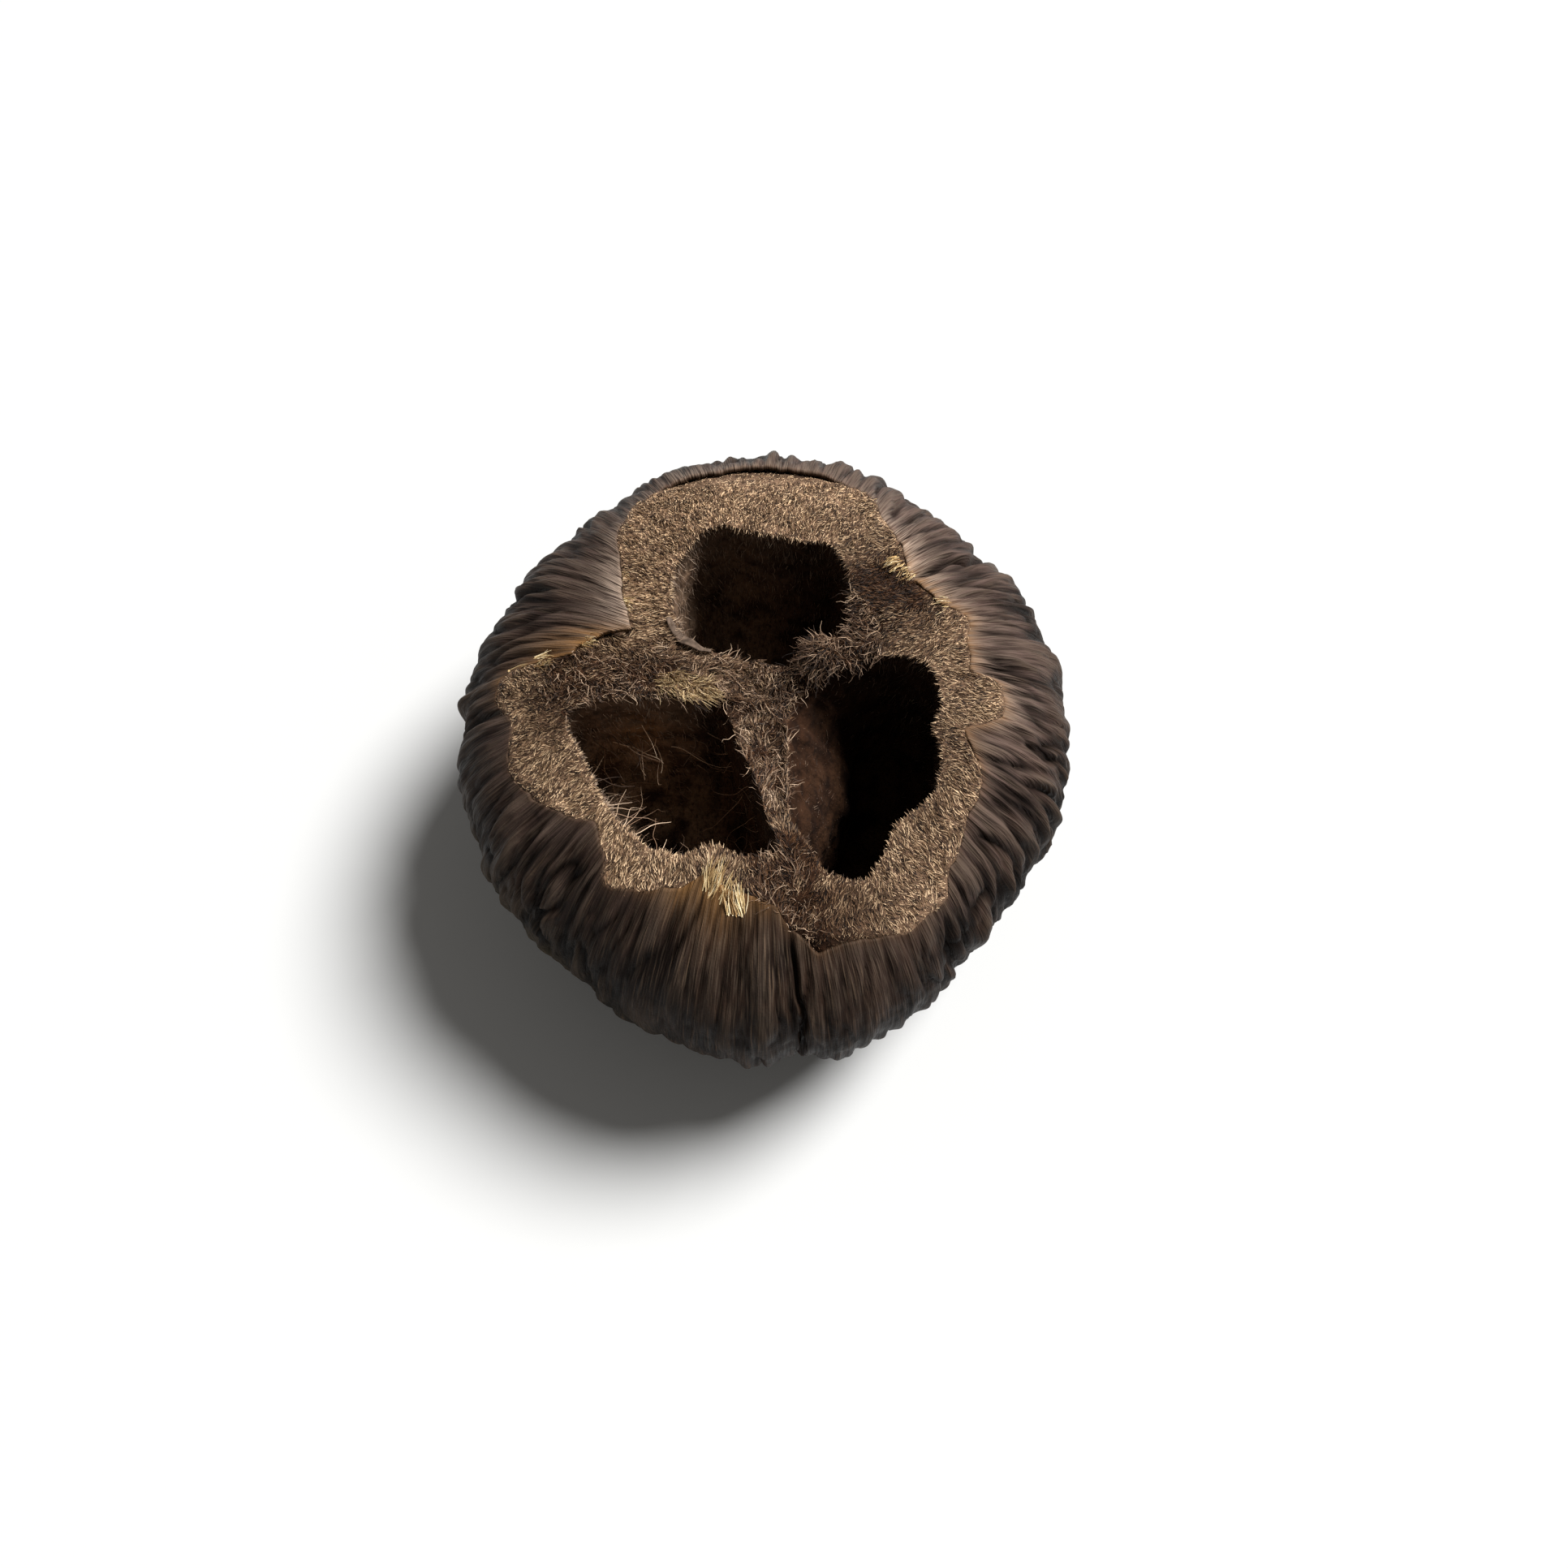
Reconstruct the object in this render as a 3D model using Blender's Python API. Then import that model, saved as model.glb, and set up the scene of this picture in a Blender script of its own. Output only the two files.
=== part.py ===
"""Dried palm fruit husk, a fibrous pod with three open seed chambers.

The husk is one natural piece: a squat round fruit wall with three shallow
suture furrows, whose top has broken away. The wrinkled skin stops at a
scalloped edge, and inside it the fibrous flesh dips to a three-way partition
between the seed chambers. Units are metres, +Z is up through the open top, and
the husk stands on the flat ring at its base.
"""

import math

import bmesh
import bpy
import numpy as np

# Fruit body
BODY_RADIUS = 0.0503
EQUATOR_HEIGHT = 0.038
CROWN_RISE = 0.0315  # from the equator to where the round crown would close
CROWN_POWER = 2.3
BASE_POWER = 2.2
# (waves around the body, cosine height, sine height)
BODY_SWELLS = ((2, -0.0007, 0.0003), (3, -0.0003, 0.0005), (4, 0.0013, 0.0003))
# (azimuth in degrees, depth, half-width in degrees)
SUTURE_FURROWS = ((180, 0.0021, 5.0), (37, 0.0018, 4.5), (275, 0.0024, 4.5))

# Underside
BASE_RING_RADIUS = 0.012
SCAR_RADIUS = 0.006
SCAR_DEPTH = 0.0025

# Skin edge, as (azimuth in degrees, distance from the axis in millimetres)
SKIN_EDGE = (
    (3, 34), (20, 35), (36, 30), (56, 36), (75, 41.5), (105, 42), (122, 39),
    (138, 28), (156, 23), (176, 41), (196, 41), (219, 34), (231, 38.5),
    (253, 32), (266, 35), (283, 42), (305, 43), (330, 37), (345, 32.5), (355, 37),
)
SKIN_THICKNESS = 0.0010

# Fibrous top face: a bowl sunk about the hub of the partitions
HUB_DIP = 0.014
HUB_DIP_RADIUS = 0.018

# Seed chambers: mouth outlines as (x, y) in millimetres from the body's axis
CHAMBER_MOUTHS = {
    "back": ((-6, 28.5), (-12.5, 24), (-14, 16), (-12, 9.5), (-4.5, 8), (5, 7),
             (12.5, 9.5), (14.3, 16), (12, 24), (4, 27)),
    "left": ((-29.5, -2.5), (-20, -0.5), (-11, 0), (-5.5, -1), (-2.2, -12), (0, -21),
             (0.8, -27), (-8, -26.5), (-19.5, -24), (-27, -13)),
    "right": ((5.5, 1.5), (15, 5), (24, 4.3), (27.5, -3), (26.5, -12), (20, -23),
              (14, -31), (7.5, -28), (3.4, -20.5), (3.6, -9)),
}
CHAMBER_FLOOR = 0.013
CHAMBER_MOUTH_HEIGHT = 0.056
CHAMBER_BULGE = 0.12  # share by which a chamber widens below its mouth
CHAMBER_POWER = 2.6  # roundness of the chamber's floor
CUTTER_TOP = 0.080

# Mesh density
AZIMUTH_STEPS = 120
BASE_RINGS = 8
CROWN_RINGS = 9
FACE_RINGS = 9
CHAMBER_RINGS = 9
POINTS_PER_SPAN = 3

HUSK_COLOUR = (0.052, 0.036, 0.028, 1.0)
HUSK_ROUGHNESS = 0.62
FLESH_COLOUR = (0.20, 0.125, 0.075, 1.0)
FLESH_ROUGHNESS = 0.95


def clear_scene():
    for item in list(bpy.data.objects):
        bpy.data.objects.remove(item, do_unlink=True)


def principled(name, colour, roughness):
    material = bpy.data.materials.new(name)
    material.use_nodes = True
    shader = material.node_tree.nodes["Principled BSDF"]
    shader.inputs["Base Color"].default_value = colour
    shader.inputs["Roughness"].default_value = roughness
    shader.inputs["Metallic"].default_value = 0.0
    return material


def body_radius(azimuth):
    """Distance from the axis to the skin at the equator."""
    radius = BODY_RADIUS
    for waves, cosine, sine in BODY_SWELLS:
        radius += cosine * math.cos(waves * azimuth) + sine * math.sin(waves * azimuth)
    for centre, depth, half_width in SUTURE_FURROWS:
        turn = (math.degrees(azimuth) - centre + 180) % 360 - 180
        radius -= depth * math.exp(-((turn / half_width) ** 2))
    return radius


def edge_radius(azimuth):
    """Distance from the axis to the skin's torn edge, eased between its points."""
    degrees = math.degrees(azimuth) % 360
    first, last = SKIN_EDGE[0], SKIN_EDGE[-1]
    points = [(last[0] - 360, last[1]), *SKIN_EDGE, (first[0] + 360, first[1])]
    for (start, low), (end, high) in zip(points, points[1:]):
        if start <= degrees <= end:
            share = (degrees - start) / (end - start)
            eased = share * share * (3 - 2 * share)
            return (low + (high - low) * eased) / 1000
    return first[1] / 1000


def crown_height(radius, equator):
    """Height of the round crown at this distance from the axis."""
    share = min(radius / equator, 1.0) ** CROWN_POWER
    return EQUATOR_HEIGHT + CROWN_RISE * (1 - share) ** (1 / CROWN_POWER)


def face_height(radius, equator):
    """Height of the fibrous face, under the skin and sunk about the hub."""
    dip = HUB_DIP * math.exp(-((radius / HUB_DIP_RADIUS) ** 2))
    return crown_height(radius, equator) - SKIN_THICKNESS - dip


def meridian(azimuth):
    """One line of the surface as (radius, height), from the base scar to the hub."""
    equator = body_radius(azimuth)
    edge = edge_radius(azimuth)
    line = [(SCAR_RADIUS / 2, SCAR_DEPTH * 0.8), (SCAR_RADIUS, 0.0)]
    for ring in range(BASE_RINGS):
        angle = math.pi / 2 * ring / BASE_RINGS
        out = math.sin(angle) ** (2 / BASE_POWER)
        radius = BASE_RING_RADIUS + (equator - BASE_RING_RADIUS) * out
        line.append((radius, EQUATOR_HEIGHT * (1 - math.cos(angle) ** (2 / BASE_POWER))))
    last_angle = math.acos((edge / equator) ** (CROWN_POWER / 2))
    for ring in range(CROWN_RINGS + 1):
        angle = last_angle * ring / CROWN_RINGS
        radius = equator * math.cos(angle) ** (2 / CROWN_POWER)
        line.append((radius, crown_height(radius, equator)))
    for ring in range(FACE_RINGS):
        radius = (edge - SKIN_THICKNESS / 2) * (1 - ring / FACE_RINGS)
        line.append((radius, face_height(radius, equator)))
    return line


def body_mesh():
    """The husk before its chambers are cut, closed at the scar and at the hub."""
    mesh = bmesh.new()
    scar = mesh.verts.new((0, 0, SCAR_DEPTH))
    hub_height = EQUATOR_HEIGHT + CROWN_RISE - SKIN_THICKNESS - HUB_DIP
    hub = mesh.verts.new((0, 0, hub_height))
    lines = []
    for step in range(AZIMUTH_STEPS):
        azimuth = 2 * math.pi * step / AZIMUTH_STEPS
        lines.append([
            mesh.verts.new((radius * math.cos(azimuth), radius * math.sin(azimuth), height))
            for radius, height in meridian(azimuth)
        ])
    for step, line in enumerate(lines):
        following = lines[(step + 1) % AZIMUTH_STEPS]
        mesh.faces.new((scar, following[0], line[0]))
        mesh.faces.new((hub, line[-1], following[-1]))
        for ring in range(len(line) - 1):
            mesh.faces.new((line[ring], following[ring], following[ring + 1], line[ring + 1]))
    return mesh


def smooth_outline(points):
    """A closed Catmull-Rom curve through the points, in metres."""
    corners = np.array(points) / 1000
    count = len(corners)
    outline = []
    for index in range(count):
        before, start, end, after = (corners[(index + k) % count] for k in (-1, 0, 1, 2))
        for step in range(POINTS_PER_SPAN):
            t = step / POINTS_PER_SPAN
            outline.append(0.5 * (
                2 * start + (end - before) * t
                + (2 * before - 5 * start + 4 * end - after) * t * t
                + (3 * start - before - 3 * end + after) * t ** 3
            ))
    return np.array(outline)


def chamber_sections(outline):
    """(height, outline) pairs up one chamber: a round floor, a bulge and a straight mouth.

    Widening is about the body's axis, so the partitions keep their thickness.
    """
    depth = CHAMBER_MOUTH_HEIGHT - CHAMBER_FLOOR
    sections = []
    for ring in range(1, CHAMBER_RINGS + 1):
        rise = (1 - math.cos(math.pi / 2 * ring / CHAMBER_RINGS)) ** 1.2
        closing = (1 - (1 - rise) ** CHAMBER_POWER) ** (1 / CHAMBER_POWER)
        wide = outline * (1 + CHAMBER_BULGE * math.sin(math.pi * min(rise, 1.0)))
        middle = wide.mean(axis=0)
        sections.append((CHAMBER_FLOOR + depth * rise, middle + (wide - middle) * closing))
    sections.append((CUTTER_TOP, outline))
    return sections


def chamber_mesh(points):
    """The closed solid that is cut out for one seed chamber."""
    outline = smooth_outline(points)
    if np.cross(outline, np.roll(outline, -1, axis=0)).sum() < 0:
        outline = outline[::-1]
    sections = chamber_sections(outline)
    mesh = bmesh.new()
    rings = [[mesh.verts.new((x, y, height)) for x, y in section] for height, section in sections]
    floor_x, floor_y = sections[0][1].mean(axis=0)
    floor = mesh.verts.new((floor_x, floor_y, CHAMBER_FLOOR))
    count = len(outline)
    for index in range(count):
        after = (index + 1) % count
        mesh.faces.new((floor, rings[0][after], rings[0][index]))
        for low, high in zip(rings, rings[1:]):
            mesh.faces.new((low[index], low[after], high[after], high[index]))
    mesh.faces.new(rings[-1])
    return mesh


def object_of(name, mesh, *materials):
    bmesh.ops.triangulate(mesh, faces=mesh.faces[:])
    data = bpy.data.meshes.new(name)
    mesh.to_mesh(data)
    mesh.free()
    for material in materials:
        data.materials.append(material)
    item = bpy.data.objects.new(name, data)
    bpy.context.scene.collection.objects.link(item)
    return item


def centre_on_axis(items, data):
    """Moves every mesh so that the body's box is centred on the world's Z axis."""
    corners = np.array([vertex.co[:] for vertex in data.vertices])
    middle = (corners.min(axis=0) + corners.max(axis=0)) / 2
    for item in items:
        for vertex in item.data.vertices:
            vertex.co.x -= middle[0]
            vertex.co.y -= middle[1]


def dress_body(data):
    """The skin keeps the first material, and the fibrous face inside its edge the second."""
    for face in data.polygons:
        centre = face.center
        azimuth = math.atan2(centre.y, centre.x)
        inside = math.hypot(centre.x, centre.y) < edge_radius(azimuth)
        face.material_index = int(inside and centre.z > EQUATOR_HEIGHT)


def cut_chamber(husk, name, points, material):
    cutter = object_of(f"chamber_cutter_{name}", chamber_mesh(points), material)
    cutter.hide_render = True
    cutter.display_type = "WIRE"
    cut = husk.modifiers.new(f"cut {name} chamber", "BOOLEAN")
    cut.operation = "DIFFERENCE"
    cut.solver = "EXACT"
    cut.object = cutter
    return cutter


def main():
    clear_scene()
    skin = principled("husk skin", HUSK_COLOUR, HUSK_ROUGHNESS)
    flesh = principled("husk flesh", FLESH_COLOUR, FLESH_ROUGHNESS)
    husk = object_of("husk", body_mesh(), skin, flesh)
    dress_body(husk.data)
    cutters = [cut_chamber(husk, name, points, flesh) for name, points in CHAMBER_MOUTHS.items()]
    centre_on_axis([husk, *cutters], husk.data)
    husk.data.shade_smooth()
    husk.data.set_sharp_from_angle(angle=math.radians(50))


main()
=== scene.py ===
"""Looks of a dried palm fruit husk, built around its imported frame.

The husk is a wrinkled leathery skin that stops at a torn, scalloped edge, a
fibrous flesh inside it with three open seed chambers, and the loose fibres that
stand on the torn face, the partitions and the chamber walls. Lengths are in
metres unless a name says otherwise, and +Z is up through the open top.
"""

import logging
import math
from dataclasses import dataclass, field
from enum import Enum, IntEnum
from typing import Any

import bmesh
import bpy
import numpy as np
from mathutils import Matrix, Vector
from mathutils.geometry import delaunay_2d_cdt


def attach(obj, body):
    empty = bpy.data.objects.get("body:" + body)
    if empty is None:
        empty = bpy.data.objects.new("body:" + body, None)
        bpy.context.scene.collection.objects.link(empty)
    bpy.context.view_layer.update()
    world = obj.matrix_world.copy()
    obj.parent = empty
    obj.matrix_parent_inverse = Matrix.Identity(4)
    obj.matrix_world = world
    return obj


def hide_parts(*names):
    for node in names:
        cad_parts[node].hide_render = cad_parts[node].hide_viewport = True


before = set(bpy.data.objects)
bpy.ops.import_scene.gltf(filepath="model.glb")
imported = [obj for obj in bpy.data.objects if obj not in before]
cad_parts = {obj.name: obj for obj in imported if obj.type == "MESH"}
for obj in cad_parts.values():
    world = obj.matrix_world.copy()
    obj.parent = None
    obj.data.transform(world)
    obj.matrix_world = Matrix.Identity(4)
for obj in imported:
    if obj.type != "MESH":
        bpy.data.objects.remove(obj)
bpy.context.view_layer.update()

LOG = logging.getLogger("husk")
MM = 0.001
CHUNK = 2000  # points measured at a time, which keeps the distance tables small
TINY = 1e-6
FIBRE_SIDES = 3
ROOT_BODY = "root"

Array = np.ndarray
Colour = tuple[float, float, float]
DEEP_TINT: Colour = (0.17, 0.115, 0.082)  # multiplied in where the fibre is darker and redder, and as painted shade on the chamber walls


class Chamber(Enum):
    """The three seed chambers, by where they lie as seen from the front."""

    BACK = "back"
    LEFT = "left"
    RIGHT = "right"

    @property
    def ward(self) -> int:
        """The chamber's number in the flesh's ward values."""
        return list(Chamber).index(self)


class Seed(IntEnum):
    """Fixed seeds, one for each thing that varies at random."""

    FACE_GRID = 5
    EDGE_SNAGS = 11
    EDGE_NICKS = 12
    SKIN_WANDER = 21
    SKIN_WAVER = 22
    FOLDS = 23
    PLEATS = 24
    FINE_PLEATS = 25
    RIPPLES = 26
    CROSSING = 27
    PLEAT_STRENGTH = 28
    CREASE_DRIFT = 31
    MOUTH_RAGGED = 41
    MOUTH_NICKS = 42
    FACE_LUMPS = 43
    FACE_BUMPS = 44
    FACE_CRUMBS = 45
    WALL_LUMPS = 51
    WALL_BUMPS = 52
    WALL_CRUMBS = 53
    LIE_TURN = 61
    LIE_TWIST = 62
    REDDENING = 63
    NAP = 100
    FELT = 200
    RIDGE = 300
    PAD = 310
    CLUMP = 320
    HAIRS = 330
    STRAW = 400


class Slot(Enum):
    """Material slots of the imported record."""

    SKIN = "husk_skin"
    FLESH = "husk_flesh"
    FIBRE = "husk_fibre"
    STRAW = "straw_fibre"


# ---------------------------------------------------------------- numbers


@dataclass(frozen=True)
class Grain:
    """Smooth three-dimensional gradient noise with a fixed seed."""

    seed: int
    table: int = 512

    def at(self, points: Array) -> Array:
        """Noise at points.

        Args:
            points: Places of shape (..., 3), in units of one noise cell.

        Returns:
            Values of about -1 to 1, of the same leading shape.
        """
        rng = np.random.default_rng(self.seed)
        gradients = rng.normal(size=(self.table, 3))
        gradients /= np.linalg.norm(gradients, axis=1, keepdims=True)
        shuffle = rng.permutation(self.table)
        cell = np.floor(points).astype(np.int64)
        inside = points - cell
        fade = inside ** 3 * (inside * (inside * 6 - 15) + 10)
        total = np.zeros(points.shape[:-1])
        for corner in np.ndindex(2, 2, 2):
            step = np.array(corner)
            lattice = cell + step
            pick = lattice[..., 2] % self.table
            for axis in (1, 0):
                pick = (shuffle[pick] + lattice[..., axis]) % self.table
            weight = np.prod(np.where(step, fade, 1 - fade), axis=-1)
            total += weight * np.sum(gradients[shuffle[pick]] * (inside - step), axis=-1)
        return total * 1.5


def smoothstep(low: float, high: float, value: Array) -> Array:
    """Zero below low, one above high and an eased rise between them."""
    share = np.clip((value - low) / (high - low), 0.0, 1.0)
    return share * share * (3 - 2 * share)


def around(degrees: Array, centre: float, half_width: float) -> Array:
    """A bell of one at centre on the circle, in degrees, fading over half_width."""
    turn = (degrees - centre + 180) % 360 - 180
    return np.exp(-((turn / half_width) ** 2))


def closed_curve(points: tuple[tuple[float, float], ...], per_span: int) -> Array:
    """A closed Catmull-Rom curve.

    Args:
        points: Corners as (x, y) in millimetres.
        per_span: Points made for each corner.

    Returns:
        The curve's points in metres, of shape (n, 2).
    """
    start = np.array(points) * MM
    before, end, after = (np.roll(start, k, axis=0) for k in (1, -1, -2))
    t = np.linspace(0, 1, per_span, endpoint=False)[None, :, None]
    before, start, end, after = (a[:, None, :] for a in (before, start, end, after))
    curve = 0.5 * (
        2 * start + (end - before) * t
        + (2 * before - 5 * start + 4 * end - after) * t ** 2
        + (3 * start - before - 3 * end + after) * t ** 3
    )
    return curve.reshape(-1, 2)


def even_spacing(loop: Array, count: int) -> Array:
    """Reads a closed loop again at places of equal distance along it.

    Args:
        loop: Corners of shape (n, 2).
        count: How many places.

    Returns:
        The places, of shape (count, 2).
    """
    closed = np.vstack([loop, loop[:1]])
    along = np.r_[0, np.cumsum(np.linalg.norm(np.diff(closed, axis=0), axis=1))]
    places = np.linspace(0, along[-1], count, endpoint=False)
    return np.stack([np.interp(places, along, closed[:, k]) for k in (0, 1)], axis=1)


def within(loop: Array, points: Array) -> Array:
    """Whether each point lies inside the closed loop.

    Args:
        loop: Corners of shape (n, 2).
        points: Places of shape (m, 2).

    Returns:
        Booleans of shape (m,).
    """
    found = np.zeros(len(points), bool)
    for (x0, y0), (x1, y1) in zip(loop, np.roll(loop, -1, axis=0)):
        if y0 != y1:
            crosses = (points[:, 1] > y0) != (points[:, 1] > y1)
            found ^= crosses & (points[:, 0] < x0 + (points[:, 1] - y0) * (x1 - x0) / (y1 - y0))
    return found


# ---------------------------------------------------------------- meshes


@dataclass
class Surface:
    """Points, faces and named point values, before they become an object."""

    points: Array
    faces: list[tuple[int, ...]]
    values: dict[str, Array] = field(default_factory=dict)

    def patch(self, keep: Array) -> "Surface":
        """The chosen faces, with only the points that they use.

        Args:
            keep: Whether each face is kept.

        Returns:
            A new surface with the same named values.
        """
        faces = [face for face, kept in zip(self.faces, keep) if kept]
        used = np.unique(np.concatenate([np.array(face) for face in faces]))
        fresh = np.full(len(self.points), -1)
        fresh[used] = np.arange(len(used))
        return Surface(
            self.points[used],
            [tuple(int(fresh[i]) for i in face) for face in faces],
            {name: value[used] for name, value in self.values.items()},
        )

    def on_faces(self, name: str) -> Array:
        """A named value's mean over the corners of each face.

        Args:
            name: The value's name.

        Returns:
            One number for each face.
        """
        counts = np.array([len(face) for face in self.faces])
        corners = np.fromiter((i for face in self.faces for i in face), int, counts.sum())
        starts = np.r_[0, np.cumsum(counts)[:-1]]
        return np.add.reduceat(self.values[name][corners], starts) / counts

    def to_object(self, name: str, material: bpy.types.Material | None) -> bpy.types.Object:
        """Makes a smooth-shaded mesh object at the origin.

        Args:
            name: The object's and the mesh's name.
            material: The finish, or None for a mesh that only carries fibres.

        Returns:
            The new object, linked to the scene.
        """
        mesh = bpy.data.meshes.new(name)
        mesh.from_pydata(self.points.tolist(), [], self.faces)
        for label, value in self.values.items():
            kind = "FLOAT_VECTOR" if value.ndim == 2 else "FLOAT"
            layer = mesh.attributes.new(label, kind, "POINT")
            layer.data.foreach_set("vector" if value.ndim == 2 else "value",
                                   value.astype(np.float32).ravel())
        if material:
            mesh.materials.append(material)
        mesh.shade_smooth()
        item = bpy.data.objects.new(name, mesh)
        bpy.context.scene.collection.objects.link(item)
        return item


def point_outwards(item: bpy.types.Object) -> None:
    """Turns every face of a closed mesh outwards.

    Args:
        item: The mesh's object.
    """
    shell = bmesh.new()
    shell.from_mesh(item.data)
    bmesh.ops.recalc_face_normals(shell, faces=shell.faces[:])
    shell.to_mesh(item.data)
    shell.free()


def ring_faces(first: Array, second: Array) -> list[tuple[int, ...]]:
    """Quads between two rings.

    Args:
        first: Point numbers round one ring.
        second: Point numbers round the other, as many.

    Returns:
        One quad for each pair of neighbours.
    """
    return [
        (int(a), int(b), int(c), int(d))
        for a, b, c, d in zip(first, np.roll(first, -1), np.roll(second, -1), second)
    ]


def fan_faces(ring: Array, pole: int) -> list[tuple[int, ...]]:
    """Triangles from a ring of point numbers to one pole."""
    return [(int(a), int(b), pole) for a, b in zip(ring, np.roll(ring, -1))]


# ---------------------------------------------------------------- finishes


class Nodes:
    """A short way to add and join nodes of one tree."""

    def __init__(self, tree: bpy.types.NodeTree) -> None:
        """Keeps the tree that the nodes go into."""
        self.tree = tree

    def add(self, kind: str, settings: dict[str, Any] | None = None, **inputs: Any) -> Any:
        """Adds a node.

        Args:
            kind: The node's type name.
            settings: Properties of the node, such as its mode.
            **inputs: Values or sockets for inputs, by name, with _ for a space,
                or i0, i1 and so on for inputs by number.

        Returns:
            The new node.
        """
        node = self.tree.nodes.new(kind)
        for name, value in (settings or {}).items():
            setattr(node, name, value)
        for name, value in inputs.items():
            numbered = name[0] == "i" and name[1:].isdigit()
            socket = node.inputs[int(name[1:]) if numbered else name.replace("_", " ")]
            if isinstance(value, bpy.types.NodeSocket):
                self.tree.links.new(value, socket)
            else:
                socket.default_value = value
        return node

    def maths(self, operation: str, *values: Any) -> Any:
        """The result socket of a Math node over numbers or sockets."""
        inputs = {f"i{number}": value for number, value in enumerate(values)}
        return self.add("ShaderNodeMath", {"operation": operation}, **inputs).outputs[0]

    def vectors(self, operation: str, *values: Any) -> Any:
        """The result socket of a Vector Math node over vectors or sockets."""
        inputs = {f"i{number}": value for number, value in enumerate(values)}
        return self.add("ShaderNodeVectorMath", {"operation": operation}, **inputs).outputs[0]

    def blend(self, share: Any, low: Any, high: Any, kind: str = "MIX") -> Any:
        """Mixes two colours.

        Args:
            share: How much of high, as a number or a socket.
            low: The first colour.
            high: The second colour.
            kind: The Mix node's blend type.

        Returns:
            The result's socket.
        """
        node = self.add("ShaderNodeMix", {"data_type": "RGBA", "blend_type": kind})
        for number, value in ((0, share), (6, low), (7, high)):
            if isinstance(value, bpy.types.NodeSocket):
                self.tree.links.new(value, node.inputs[number])
            elif number:
                node.inputs[number].default_value = (*value, 1.0)
            else:
                node.inputs[number].default_value = value
        return node.outputs[2]

    def ramp(self, value: Any, low: float, high: float) -> Any:
        """Moves a value from the range low to high on to 0 to 1, with soft ends.

        Args:
            value: The socket to read.
            low: What becomes 0.
            high: What becomes 1.

        Returns:
            The result's socket.
        """
        node = self.add("ShaderNodeMapRange", {"interpolation_type": "SMOOTHSTEP"},
                        Value=value, From_Min=low, From_Max=high)
        return node.outputs[0]

    def noise(self, place: Any, scale: float, detail: float = 3.0) -> Any:
        """The value socket of a Noise Texture at place."""
        return self.add("ShaderNodeTexNoise", Vector=place, Scale=scale,
                        Detail=detail).outputs[0]

    def attribute(self, name: str, output: str = "Fac") -> Any:
        """A named attribute of the mesh, in a shader tree."""
        return self.add("ShaderNodeAttribute", {"attribute_name": name}).outputs[output]


def new_material(name: str) -> tuple[bpy.types.Material, Nodes, bpy.types.Node]:
    """Makes a Principled material.

    Args:
        name: The finish's name.

    Returns:
        The material, a helper for its nodes and its shader.
    """
    material = bpy.data.materials.new(name)
    material.use_nodes = True
    shader = material.node_tree.nodes["Principled BSDF"]
    return material, Nodes(material.node_tree), shader


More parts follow.
